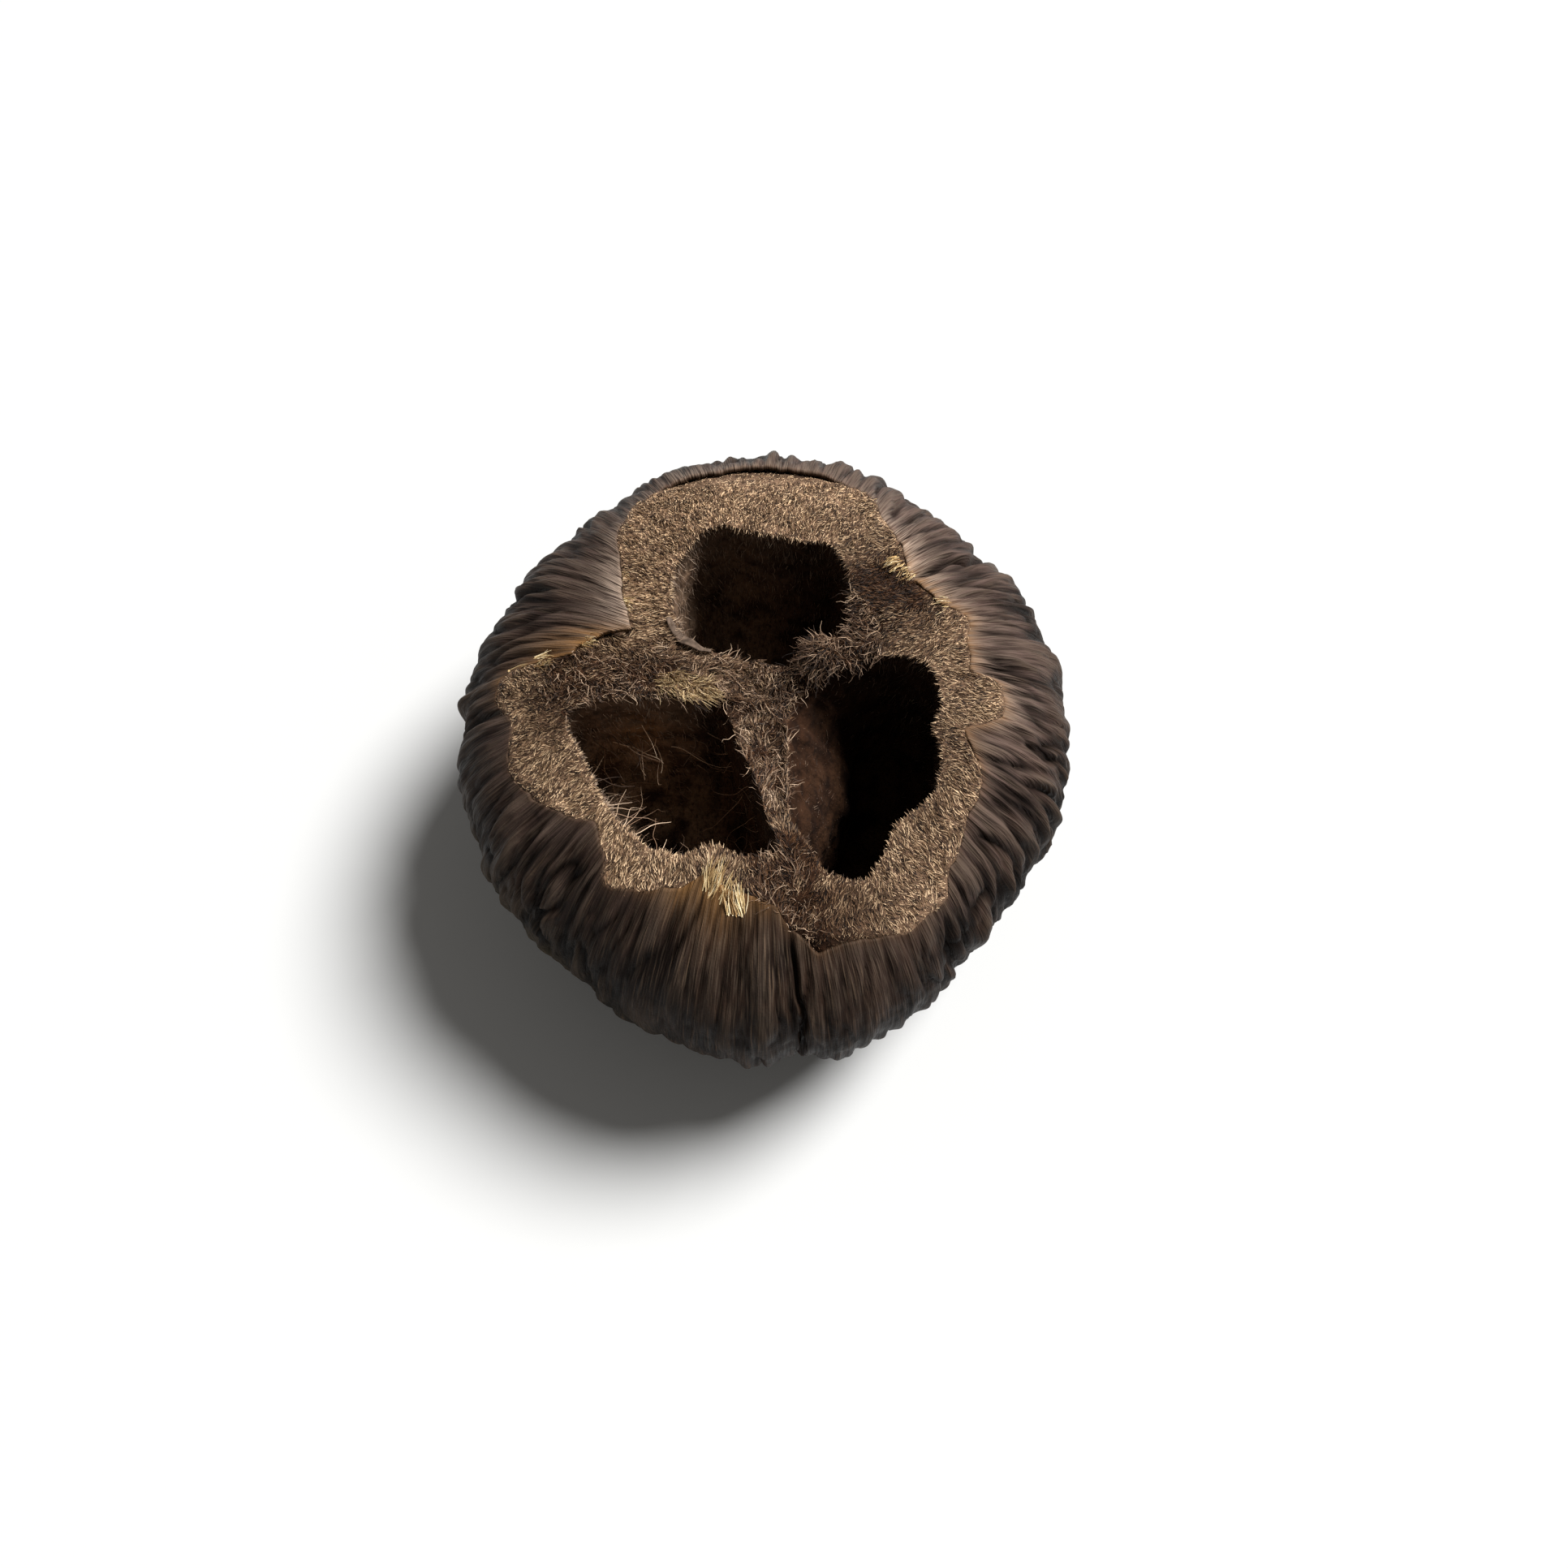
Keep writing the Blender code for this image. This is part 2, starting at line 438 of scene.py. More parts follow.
@dataclass(frozen=True)
class SkinFinish:
    """Dry leathery skin: dark plum brown, ochre at its torn edge, grey bloom and painted sky reflection
    low down.
    """

    dark: Colour = (0.0050, 0.0030, 0.0022)
    brown: Colour = (0.022, 0.0125, 0.0082)
    # plum tone that also stands in for light: painted light on the upper skin, most on the right
    plum_and_painted_light: Colour = (0.092, 0.060, 0.050)
    # grey-green bloom low down, partly painted reflection of the sky
    bloom_and_reflection: Colour = (0.046, 0.041, 0.027)
    ochre: Colour = (0.20, 0.098, 0.032)
    streak: Colour = (0.095, 0.062, 0.040)
    # pale threads of wear, also used as painted highlight on the pleat crests
    wear_and_highlight: Colour = (0.082, 0.060, 0.043)
    # painted highlight: a pale shine near the torn edge
    painted_highlight: Colour = (0.32, 0.24, 0.185)
    shade: Colour = (0.66, 0.54, 0.50)  # painted shade, multiplied in low down at the front right
    roughness: tuple[float, float] = (0.36, 0.62)
    specular: float = 0.03
    patch_scale: float = 110.0
    pore_scale: float = 2600.0
    # painted shade: how dark the creases are painted
    crease_shade_darkness: float = 0.35
    relief: float = 0.7 * MM

    def material(self) -> bpy.types.Material:
        """Builds the material, which reads the skin's own attributes.

        Returns:
            The new material.
        """
        material, nodes, shader = new_material("husk skin")
        grain = nodes.attribute("grain", "Vector")
        place = nodes.add("ShaderNodeTexCoord").outputs["Object"]
        stretched = nodes.vectors("MULTIPLY", grain, (1.0, 1.0, 0.07))
        patches = nodes.noise(place, self.patch_scale, 4.0)
        fine = nodes.noise(stretched, 1.5, 5.0)
        hairs = nodes.noise(nodes.vectors("MULTIPLY", grain, (1.0, 1.0, 0.03)), 2.6, 2.0)
        colour = nodes.blend(nodes.ramp(patches, 0.32, 0.68), self.dark, self.brown)
        # painted light: the plum tone lightens the upper skin, most on the right
        plum_and_painted_light = nodes.maths("MULTIPLY", nodes.attribute("plum_and_painted_light"), nodes.ramp(fine, 0.25, 0.75))
        colour = nodes.blend(plum_and_painted_light, colour, self.plum_and_painted_light)
        # grey-green bloom with painted sky reflection, low on the left
        bloom_and_reflection = nodes.maths("MULTIPLY", nodes.attribute("bloom_and_reflection"), nodes.ramp(patches, 0.2, 0.6))
        colour = nodes.blend(bloom_and_reflection, colour, self.bloom_and_reflection)
        threads = nodes.noise(nodes.vectors("MULTIPLY", grain, (1.0, 1.0, 0.05)), 4.2, 1.0)
        lined = nodes.maths("MULTIPLY", nodes.ramp(threads, 0.48, 0.66), 0.38)
        colour = nodes.blend(lined, colour, self.wear_and_highlight)
        streaks = nodes.maths("MULTIPLY", nodes.ramp(hairs, 0.60, 0.74), nodes.attribute("streaks"))
        colour = nodes.blend(streaks, colour, self.streak)
        # painted highlight near the torn edge
        highlight_share = nodes.maths("MULTIPLY", nodes.ramp(threads, 0.35, 0.6), nodes.attribute("painted_highlight"))
        colour = nodes.blend(highlight_share, colour, self.painted_highlight)
        ochre = nodes.maths("MULTIPLY", nodes.attribute("ochre"), nodes.ramp(fine, 0.15, 0.7))
        colour = nodes.blend(ochre, colour, self.ochre)
        # painted highlight on the pleat crests
        crest_highlight = nodes.maths("MULTIPLY", nodes.attribute("crest_highlight"), nodes.ramp(fine, 0.2, 0.7))
        colour = nodes.blend(nodes.maths("MULTIPLY", crest_highlight, 0.5), colour, self.wear_and_highlight)
        # painted shade low down at the front right
        colour = nodes.blend(nodes.attribute("shade"), colour, self.shade, "MULTIPLY")
        # painted shade in the creases
        crease = nodes.maths("MULTIPLY", nodes.attribute("crease"), 0.85)
        colour = nodes.blend(crease, colour, tuple(part * self.crease_shade_darkness for part in self.dark))
        nodes.tree.links.new(colour, shader.inputs["Base Color"])
        low, high = self.roughness
        rough = nodes.maths("MULTIPLY_ADD", nodes.ramp(fine, 0.2, 0.8), high - low, low)
        nodes.tree.links.new(rough, shader.inputs["Roughness"])
        height = nodes.maths("ADD", nodes.maths("MULTIPLY", fine, 0.7),
                             nodes.maths("MULTIPLY", hairs, 0.5))
        height = nodes.maths("ADD", height, nodes.maths("MULTIPLY", threads, 0.3))
        pores = nodes.noise(place, self.pore_scale, 2.0)
        height = nodes.maths("ADD", height, nodes.maths("MULTIPLY", pores, 0.12))
        bump = nodes.add("ShaderNodeBump", Strength=0.8, Distance=self.relief, Height=height)
        nodes.tree.links.new(bump.outputs[0], shader.inputs["Normal"])
        shader.inputs["Specular IOR Level"].default_value = self.specular
        return material


@dataclass(frozen=True)
class FleshFinish:
    """Matted fibrous flesh: dull brown, darker and redder inside the chambers, where much of the darkening
    is painted shade.
    """

    dark: Colour = (0.045, 0.026, 0.016)
    brown: Colour = (0.165, 0.100, 0.062)
    chamber: Colour = (0.42, 0.285, 0.185)
    amber: Colour = (0.33, 0.15, 0.035)
    roughness: float = 0.92
    specular: float = 0.1
    coarse_scale: float = 420.0
    mottle_scale: float = 170.0
    fine_scale: float = 1500.0
    relief: float = 0.6 * MM

    def material(self) -> bpy.types.Material:
        """Builds the material, which reads the flesh's own attributes.

        Returns:
            The new material.
        """
        material, nodes, shader = new_material("husk flesh")
        place = nodes.add("ShaderNodeTexCoord").outputs["Object"]
        coarse = nodes.noise(place, self.coarse_scale, 4.0)
        mottle = nodes.noise(place, self.mottle_scale, 4.0)
        stretched = nodes.vectors("MULTIPLY", place, (1.0, 1.0, 0.35))
        fine = nodes.noise(stretched, self.fine_scale, 4.0)
        colour = nodes.blend(nodes.ramp(coarse, 0.3, 0.7), self.dark, self.brown)
        matted = nodes.maths("MULTIPLY", nodes.ramp(mottle, 0.35, 0.6), nodes.ramp(fine, 0.15, 0.6))
        walls = nodes.blend(matted, self.dark, self.chamber)
        colour = nodes.blend(nodes.attribute("inside"), colour, walls)
        amber = nodes.maths("MULTIPLY", nodes.attribute("amber"), nodes.ramp(coarse, 0.2, 0.6))
        # redder tone on the face, painted shade on the chamber walls
        colour = nodes.blend(nodes.attribute("redness_and_shade"), colour, DEEP_TINT, "MULTIPLY")
        colour = nodes.blend(amber, colour, self.amber)
        nodes.tree.links.new(colour, shader.inputs["Base Color"])
        shader.inputs["Roughness"].default_value = self.roughness
        shader.inputs["Specular IOR Level"].default_value = self.specular
        height = nodes.maths("ADD", coarse, nodes.maths("MULTIPLY", fine, 0.6))
        bump = nodes.add("ShaderNodeBump", Strength=0.9, Distance=self.relief, Height=height)
        nodes.tree.links.new(bump.outputs[0], shader.inputs["Normal"])
        return material


@dataclass(frozen=True)
class FibreFinish:
    """Dry plant fibre whose shade differs from fibre to fibre."""

    name: str
    deep: Colour
    middle: Colour
    pale: Colour
    roughness: float = 0.55
    specular: float = 0.35
    shade_scale: float = 300.0

    def material(self) -> bpy.types.Material:
        """Builds the material, which reads each fibre's tone and its redness and painted shade.

        Returns:
            The new material.
        """
        material, nodes, shader = new_material(self.name)
        tone = nodes.attribute("tone")
        colour = nodes.blend(nodes.ramp(tone, 0.08, 0.60), self.deep, self.middle)
        colour = nodes.blend(nodes.ramp(tone, 0.55, 1.0), colour, self.pale)
        place = nodes.add("ShaderNodeTexCoord").outputs["Object"]
        shade = nodes.ramp(nodes.noise(place, self.shade_scale, 3.0), 0.15, 0.55)
        # redder tone in the nap, painted shade in the chamber felt
        colour = nodes.blend(nodes.maths("MULTIPLY", nodes.attribute("redness_and_shade"), shade), colour,
                             DEEP_TINT, "MULTIPLY")
        nodes.tree.links.new(colour, shader.inputs["Base Color"])
        shader.inputs["Roughness"].default_value = self.roughness
        shader.inputs["Specular IOR Level"].default_value = self.specular
        return material


# ---------------------------------------------------------------- form


@dataclass(frozen=True)
class Crease:
    """One furrow down the skin."""

    azimuth: float  # degrees
    depth: float
    half_width: float
    low: float  # where it starts, along the meridian from the equator
    high: float  # where it ends
    drift: float = 0.0  # how far it wanders, in radians


@dataclass(frozen=True)
class HuskForm:
    """The grown form that the skin and the flesh share, about the body's own axis."""

    body_radius: float = 50.3 * MM
    equator_height: float = 38 * MM
    crown_rise: float = 31.5 * MM
    crown_power: float = 2.3
    base_power: float = 2.2
    base_ring: float = 12 * MM
    scar_radius: float = 6 * MM
    scar_depth: float = 2.5 * MM
    # the rings inside the flat base, by share of its radius
    base_shares: tuple[float, ...] = (0.88, 0.76, 0.64, 0.5, 0.4, 0.28, 0.16, 0.07)
    skin: float = 1.0 * MM
    hub_dip: float = 14 * MM
    hub_dip_radius: float = 18 * MM
    swells: tuple[tuple[int, float, float], ...] = (
        (2, -0.7 * MM, 0.3 * MM), (3, -0.3 * MM, 0.5 * MM), (4, 1.3 * MM, 0.3 * MM),
    )
    sutures: tuple[tuple[float, float, float], ...] = (
        (180, 2.1 * MM, 5.0), (37, 1.8 * MM, 4.5), (275, 2.4 * MM, 4.5),
    )
    # the torn skin edge, as (azimuth in degrees, distance from the axis in millimetres)
    torn_edge: tuple[tuple[float, float], ...] = (
        (1, 37.2), (4, 32.6), (12, 33), (20, 34.8), (27, 31), (38, 30), (47, 33.5),
        (56, 36), (62, 40), (68, 40.3), (75, 41.6), (90, 42.2), (104, 42.3), (119, 41),
        (125, 38.4), (140, 28.3), (149, 24.3), (155, 22.3), (160, 26.7), (167, 30.1),
        (173, 42), (177, 42.3), (184, 39.4), (195, 41.1), (203, 39.2), (212, 36.1),
        (219, 33.4), (225, 35.2), (230, 38.4), (237, 37), (246, 34.4), (253, 31.5),
        (260, 32.6), (271, 34.5), (275, 38), (280, 41.5), (289, 41.4), (300, 43.1),
        (309, 42.4), (315, 39.3), (327, 37.1), (335, 36.7), (346, 31.9), (353, 37.6),
    )

    def equator(self, azimuth: Array) -> Array:
        """Distance from the axis to the smooth skin at the equator.

        Args:
            azimuth: Azimuths in radians.

        Returns:
            Distances of the same shape.
        """
        radius = np.full(np.shape(azimuth), self.body_radius)
        for waves, cosine, sine in self.swells:
            radius = radius + cosine * np.cos(waves * azimuth) + sine * np.sin(waves * azimuth)
        for centre, depth, half_width in self.sutures:
            radius = radius - depth * around(np.degrees(azimuth), centre, half_width)
        return radius

    def axis(self) -> Array:
        """Where the body's axis stands in the frame, whose box is centred on the origin.

        Returns:
            The axis's foot as (x, y, 0).
        """
        azimuth = np.linspace(0, 2 * np.pi, 120, endpoint=False)
        radius = self.equator(azimuth)
        outline = np.stack([radius * np.cos(azimuth), radius * np.sin(azimuth)], axis=1)
        return np.r_[-(outline.min(axis=0) + outline.max(axis=0)) / 2, 0.0]

    def edge(self, azimuth: Array) -> Array:
        """Distance from the axis to the torn skin edge, with its small snags.

        Args:
            azimuth: Azimuths in radians.

        Returns:
            Distances of the same shape.
        """
        degrees = np.degrees(azimuth) % 360
        places = np.array([place for place, _ in self.torn_edge], float)
        radii = np.array([radius for _, radius in self.torn_edge], float)
        places = np.r_[places[-1] - 360, places, places[0] + 360]
        radii = np.r_[radii[-1], radii, radii[0]] * MM
        span = np.clip(np.searchsorted(places, degrees, side="right") - 1, 0, len(places) - 2)
        share = (degrees - places[span]) / (places[span + 1] - places[span])
        eased = 0.6 * share * share * (3 - 2 * share) + 0.4 * share
        smooth = radii[span] + (radii[span + 1] - radii[span]) * eased
        ring = np.stack([np.cos(azimuth), np.sin(azimuth), 0 * azimuth], axis=-1)
        snags = 0.45 * Grain(Seed.EDGE_SNAGS).at(ring * 9) + 0.30 * Grain(Seed.EDGE_NICKS).at(ring * 26)
        return smooth + snags * MM

    def crown(self, radius: Array, azimuth: Array) -> Array:
        """Height of the round crown at this distance from the axis."""
        share = np.clip(radius / self.equator(azimuth), 0, 1) ** self.crown_power
        return self.equator_height + self.crown_rise * (1 - share) ** (1 / self.crown_power)

    def meridians(self, azimuth: Array, upper: int, lower: int) -> tuple[Array, Array]:
        """The skin's smooth outer surface, ring by ring from the torn edge to the scar.

        Args:
            azimuth: The meridians' azimuths, of shape (n,).
            upper: Rings from the edge to the equator.
            lower: Rings from the equator to the flat base.

        Returns:
            Points of shape (rings, n, 3), and each one's distance along its
            meridian from the equator, up being positive, of shape (rings, n).
        """
        equator, edge = self.equator(azimuth), self.edge(azimuth)
        last = np.arccos(np.clip((edge / equator) ** (self.crown_power / 2), 0, 1))
        radii, heights = [], []
        for ring in range(upper + 1):
            angle = last * (1 - ring / upper)
            radii.append(equator * np.cos(angle) ** (2 / self.crown_power))
            heights.append(self.equator_height
                           + self.crown_rise * np.sin(angle) ** (2 / self.crown_power))
        for ring in range(1, lower + 1):
            angle = np.pi / 2 * (1 - ring / lower)
            out = np.sin(angle) ** (2 / self.base_power)
            drop = np.maximum(np.cos(angle), 0) ** (2 / self.base_power)
            radii.append(self.base_ring + (equator - self.base_ring) * out)
            heights.append(np.full(len(azimuth), self.equator_height * (1 - drop)))
        for share in self.base_shares:
            radius = self.base_ring * share
            rise = self.scar_depth * (1 - min(radius / self.scar_radius, 1) ** 2)
            radii.append(np.full(len(azimuth), radius))
            heights.append(np.full(len(azimuth), rise))
        radii, heights = np.array(radii), np.array(heights)
        steps = np.hypot(np.diff(radii, axis=0), np.diff(heights, axis=0))
        along = np.vstack([np.zeros(len(azimuth)), -np.cumsum(steps, axis=0)])
        points = np.stack([radii * np.cos(azimuth), radii * np.sin(azimuth), heights], axis=-1)
        return points, along - along[upper]


# ---------------------------------------------------------------- skin


@dataclass(frozen=True)
class Stretch:
    """A stretch of the skin round one azimuth, in degrees, fading over its half width."""

    centre: float
    half_width: float
    level: float = 1.0


def levels(degrees: Array, stretches: tuple[Stretch, ...], base: float = 0.0) -> Array:
    """The base level with every stretch's level added round its own azimuth."""
    return sum((stretch.level * around(degrees, stretch.centre, stretch.half_width)
                for stretch in stretches), base)


@dataclass
class Skin:
    """The wrinkled leathery skin, a thin closed shell that ends at the torn edge."""

    form: HuskForm
    finish: SkinFinish = field(default_factory=SkinFinish)
    meridian_count: int = 840
    upper_rings: int = 58
    lower_rings: int = 34
    fold_height: float = 1.25 * MM
    pleat_height: float = 2.2 * MM
    pleat_width: float = 3.4 * MM
    ripple_height: float = 0.3 * MM
    pleat_strength: tuple[Stretch, ...] = (
        Stretch(345, 55, 0.6), Stretch(205, 40, 0.5), Stretch(258, 20, -0.25), Stretch(60, 30, 0.2),
    )
    # ochre at the torn edge: at the front, the left, the right and the upper right
    ochre_front: tuple[Stretch, ...] = (Stretch(256, 12),)
    ochre_left: tuple[Stretch, ...] = (Stretch(164, 9),)
    ochre_right: tuple[Stretch, ...] = (Stretch(10, 20, 0.5), Stretch(345, 8, 0.4))
    ochre_upper: tuple[Stretch, ...] = (Stretch(35, 12, 0.6),)
    # painted highlight near the torn edge, by azimuth
    painted_highlight: tuple[Stretch, ...] = (
        Stretch(147, 13), Stretch(42, 16, 0.9), Stretch(5, 22, 0.45), Stretch(100, 30, 0.3),
    )
    painted_highlight_reach: float = 4.5 * MM
    # plum tone with painted light on the upper skin, by azimuth, and where it is left out
    plum_and_painted_light: tuple[Stretch, ...] = (Stretch(350, 60, 0.45), Stretch(50, 35, 0.4))
    plum_and_painted_light_free: tuple[Stretch, ...] = (Stretch(270, 42, -0.85),)
    # grey-green bloom with painted sky reflection low down, by azimuth, and where it is left out
    bloom_and_reflection: tuple[Stretch, ...] = (Stretch(210, 42, 0.9),)
    bloom_and_reflection_free: tuple[Stretch, ...] = (Stretch(268, 22, -0.7),)
    streaks: tuple[Stretch, ...] = (Stretch(258, 34, 0.75),)
    # painted shade low down at the front right
    shade: tuple[Stretch, ...] = (Stretch(288, 48),)
    # the lip's rings, as (share of the skin's thickness, pull towards the axis in millimetres)
    lip_rings: tuple[tuple[float, float], ...] = ((0.35, 0.10), (0.75, 0.02), (1.05, -0.25))
    # the outer rings under which the plain inside has a ring
    inner_rings: tuple[int, ...] = (4, 9, 16, 26, 40, 58, 70, 82, 90)
    creases: tuple[Crease, ...] = (
        Crease(180, 1.3 * MM, 0.7 * MM, -30 * MM, 40 * MM, 0.03),
        Crease(37, 2.0 * MM, 0.8 * MM, -30 * MM, 40 * MM, 0.03),
        Crease(275.0, 1.5 * MM, 0.45 * MM, -45 * MM, 40 * MM, 0.03),
        Crease(268, 1.9 * MM, 0.7 * MM, -45 * MM, -2 * MM, 0.05),
        Crease(222, 1.5 * MM, 0.7 * MM, -20 * MM, 14 * MM, 0.05),
        Crease(233, 0.9 * MM, 0.8 * MM, -40 * MM, 12 * MM, 0.06),
        Crease(308, 0.9 * MM, 0.8 * MM, -30 * MM, 20 * MM, 0.06),
        Crease(330, 0.9 * MM, 0.8 * MM, -30 * MM, 22 * MM, 0.06),
        Crease(350, 0.9 * MM, 0.7 * MM, -30 * MM, 24 * MM, 0.05),
        Crease(150, 1.0 * MM, 0.9 * MM, -30 * MM, 22 * MM, 0.06),
        Crease(130, 0.8 * MM, 0.8 * MM, -30 * MM, 18 * MM, 0.06),
        Crease(75, 0.8 * MM, 0.8 * MM, -30 * MM, 18 * MM, 0.06),
        Crease(98, 0.8 * MM, 0.8 * MM, -30 * MM, 18 * MM, 0.06),
    )

    def wrinkles(self, azimuth: Array, along: Array) -> tuple[Array, Array, Array]:
        """How far the skin stands off the smooth form.

        Args:
            azimuth: Meridian azimuths, of shape (n,).
            along: Distances from the equator, of shape (rings, n).

        Returns:
            Heights of shape (rings, n), and how far down a crease and how far up
            on a pleat each point lies, both 0 to 1.
        """
        form = self.form
        degrees = np.degrees(azimuth) % 360
        turn = np.broadcast_to(azimuth, along.shape)
        ring = form.body_radius / MM

        def place(angle: Array, across: float, down: float) -> Array:
            """Noise coordinates whose cells are across by down millimetres."""
            return np.stack([np.cos(angle) * ring / across, np.sin(angle) * ring / across,
                             along / MM / down], axis=-1)

        wander = turn + 0.055 * Grain(Seed.SKIN_WANDER).at(place(turn, 22, 26))
        wander = wander + 0.016 * Grain(Seed.SKIN_WAVER).at(place(turn, 7, 9))
        folds = Grain(Seed.FOLDS).at(place(wander, 13, 42))
        ridge = np.abs(Grain(Seed.PLEATS).at(place(wander, self.pleat_width / MM, 24)))
        pleats = ridge ** 0.6 - 0.36
        fine_pleats = np.abs(Grain(Seed.FINE_PLEATS).at(place(wander, 1.9, 15))) ** 0.8 - 0.3
        ripples = Grain(Seed.RIPPLES).at(place(wander, 1.25, 12))
        crossing = Grain(Seed.CROSSING).at(place(wander, 5, 3.2))
        strength = levels(degrees, self.pleat_strength, 0.72)
        strength = strength * (0.75 + 0.5 * Grain(Seed.PLEAT_STRENGTH).at(place(turn, 18, 18)))
        pleated = self.pleat_height * pleats + 0.6 * self.pleat_height * fine_pleats
        height = self.fold_height * folds + strength * pleated
        height = height + self.ripple_height * (0.6 * ripples + 0.4 * crossing)
        # these masks become painted shade in the creases and painted highlight on the crests
        inside = smoothstep(0.26, 0.0, ridge) * np.clip(1.1 * strength, 0, 1)
        crest_highlight = smoothstep(-0.05, 0.45, pleats + 0.5 * fine_pleats) * np.clip(strength, 0, 1)
        for crease in self.creases:
            centre = math.radians(crease.azimuth)
            line = centre + crease.drift * Grain(Seed.CREASE_DRIFT).at(place(turn * 0 + centre, 6, 9))
            gap = (np.mod(turn - line + np.pi, 2 * np.pi) - np.pi) * form.body_radius
            reach = smoothstep(crease.low - 6 * MM, crease.low + 4 * MM, along)
            reach = reach * (1 - smoothstep(crease.high - 4 * MM, crease.high + 6 * MM, along))
            cut = np.exp(-((gap / crease.half_width) ** 2)) * reach
            shoulder = np.exp(-(((np.abs(gap) - 2.2 * crease.half_width) / crease.half_width) ** 2))
            height = height - crease.depth * cut + 0.22 * crease.depth * shoulder * reach
            inside = np.maximum(inside, cut)
        return height, np.clip(inside, 0, 1), crest_highlight * np.clip(1 - inside, 0, 1)

    def colour_values(self, degrees: Array, along: Array, from_edge: Array) -> dict[str, Array]:
        """Where the skin is ochre, plum with painted light, bloom with painted reflection and streaked,
        and where painted highlight and painted shade go.

        Args:
            degrees: Meridian azimuths, of shape (n,).
            along: Distances from the equator, of shape (rings, n).
            from_edge: Distances down from the torn edge, of shape (rings, n).

        Returns:
            Values from 0 to 1 by name, each of shape (rings * n,).
        """
        front, left, right, upper = (levels(degrees, stretches) for stretches in (
            self.ochre_front, self.ochre_left, self.ochre_right, self.ochre_upper))
        reach = (0.9 + 3.6 * front + 6.0 * left + 1.8 * right + 1.5 * upper) * MM
        ochre = 0.10 + 0.95 * front + 0.9 * left + right + upper
        ochre = ochre * np.exp(-((from_edge / reach) ** 1.3))
        # painted highlight near the torn edge
        painted_highlight = levels(degrees, self.painted_highlight) * np.exp(-((from_edge / self.painted_highlight_reach) ** 1.5))
        high = smoothstep(2 * MM, 26 * MM, along)
        # plum tone with painted light, on the upper skin
        plum_and_painted_light = high * levels(degrees, self.plum_and_painted_light, 0.55) * levels(degrees, self.plum_and_painted_light_free, 1.0)
        low = smoothstep(14 * MM, -14 * MM, along)
        # grey-green bloom with painted sky reflection, low down
        bloom_and_reflection = low * levels(degrees, self.bloom_and_reflection, 0.06) * levels(degrees, self.bloom_and_reflection_free, 1.0)
        streaks = levels(degrees, self.streaks, 0.25)
        # painted shade, low down at the front right
        shade = smoothstep(22 * MM, -6 * MM, along) * levels(degrees, self.shade)
        return {name: np.clip(np.broadcast_to(value, along.shape), 0, 1).ravel()
                for name, value in (("ochre", ochre), ("plum_and_painted_light", plum_and_painted_light), ("bloom_and_reflection", bloom_and_reflection),
                                    ("streaks", streaks), ("painted_highlight", painted_highlight), ("shade", shade))}

    def surface(self) -> Surface:
        """The closed shell: wrinkled outside, rolled lip and a plain inside.

        Returns:
            The shell with the values that its finish reads.
        """
        form, count = self.form, self.meridian_count
        azimuth = np.linspace(0, 2 * np.pi, count, endpoint=False)
        smooth, along = form.meridians(azimuth, self.upper_rings, self.lower_rings)
        across = np.roll(smooth, -1, axis=1) - np.roll(smooth, 1, axis=1)
        down = np.gradient(smooth, axis=0)
        normal = np.cross(down, across)
        normal /= np.maximum(np.linalg.norm(normal, axis=-1, keepdims=True), 1e-12)
        normal *= np.sign(np.sum(normal * (smooth - [0, 0, form.equator_height]), axis=-1,
                                 keepdims=True))
        height, inside, crest_highlight = self.wrinkles(azimuth, along)
        from_edge = along[0] - along
        spread = np.hypot(smooth[..., 0], smooth[..., 1])
        calm = smoothstep(4 * MM, 20 * MM, spread) * (0.25 + 0.75 * smoothstep(0, 6 * MM, from_edge))
        height = height * calm + 0.05 * MM * np.exp(-from_edge / (1.0 * MM))
        outer = smooth + normal * height[..., None]
        outer[..., 2] = np.maximum(outer[..., 2], 0.0)
        lip = [outer[0] - normal[0] * form.skin * share + self.inward(azimuth) * pull * MM
               for share, pull in self.lip_rings]
        inner = [outer[ring] - normal[ring] * form.skin
                 for ring in (*self.inner_rings, len(outer) - 2)]
        order = [*reversed(inner), *reversed(lip), *outer]
        points = np.concatenate(order)
        faces = []
        for ring in range(len(order) - 1):
            first = np.arange(count) + ring * count
            faces += ring_faces(first, first + count)
        outer_pole, inner_pole = len(points), len(points) + 1
        points = np.vstack([points, [[0, 0, form.scar_depth], [0, 0, form.scar_depth + form.skin]]])
        faces += fan_faces(np.arange(count) + (len(order) - 1) * count, outer_pole)
        faces += fan_faces(np.arange(count), inner_pole)
        values = self.colour_values(np.degrees(azimuth), along, from_edge)
        # painted shade in the creases
        values["crease"] = np.clip(inside * calm, 0, 1).ravel()
        # painted highlight on the pleat crests
        values["crest_highlight"] = np.clip(crest_highlight, 0, 1).ravel()
        hidden = (len(inner) + len(lip)) * count
        values = {name: np.r_[np.zeros(hidden), value, 0, 0] for name, value in values.items()}
        lip_start = len(inner) * count
        rim_ochre = values["ochre"][hidden:hidden + count]
        values["ochre"][lip_start:hidden] = np.tile(0.5 * rim_ochre, len(lip))
        grain = np.stack([np.cos(azimuth) * np.ones_like(along) * form.body_radius / MM,
                          np.sin(azimuth) * np.ones_like(along) * form.body_radius / MM,
                          along / MM], axis=-1).reshape(-1, 3)
        lead = np.tile(grain[:count], (len(inner) + len(lip), 1))
        values["grain"] = np.vstack([lead, grain, [[0, 0, -60], [0, 0, -60]]])
        return Surface(points + form.axis(), faces, values)

    @staticmethod
    def inward(azimuth: Array) -> Array:
        """Unit vectors towards the axis."""
        return -np.stack([np.cos(azimuth), np.sin(azimuth), 0 * azimuth], axis=-1)

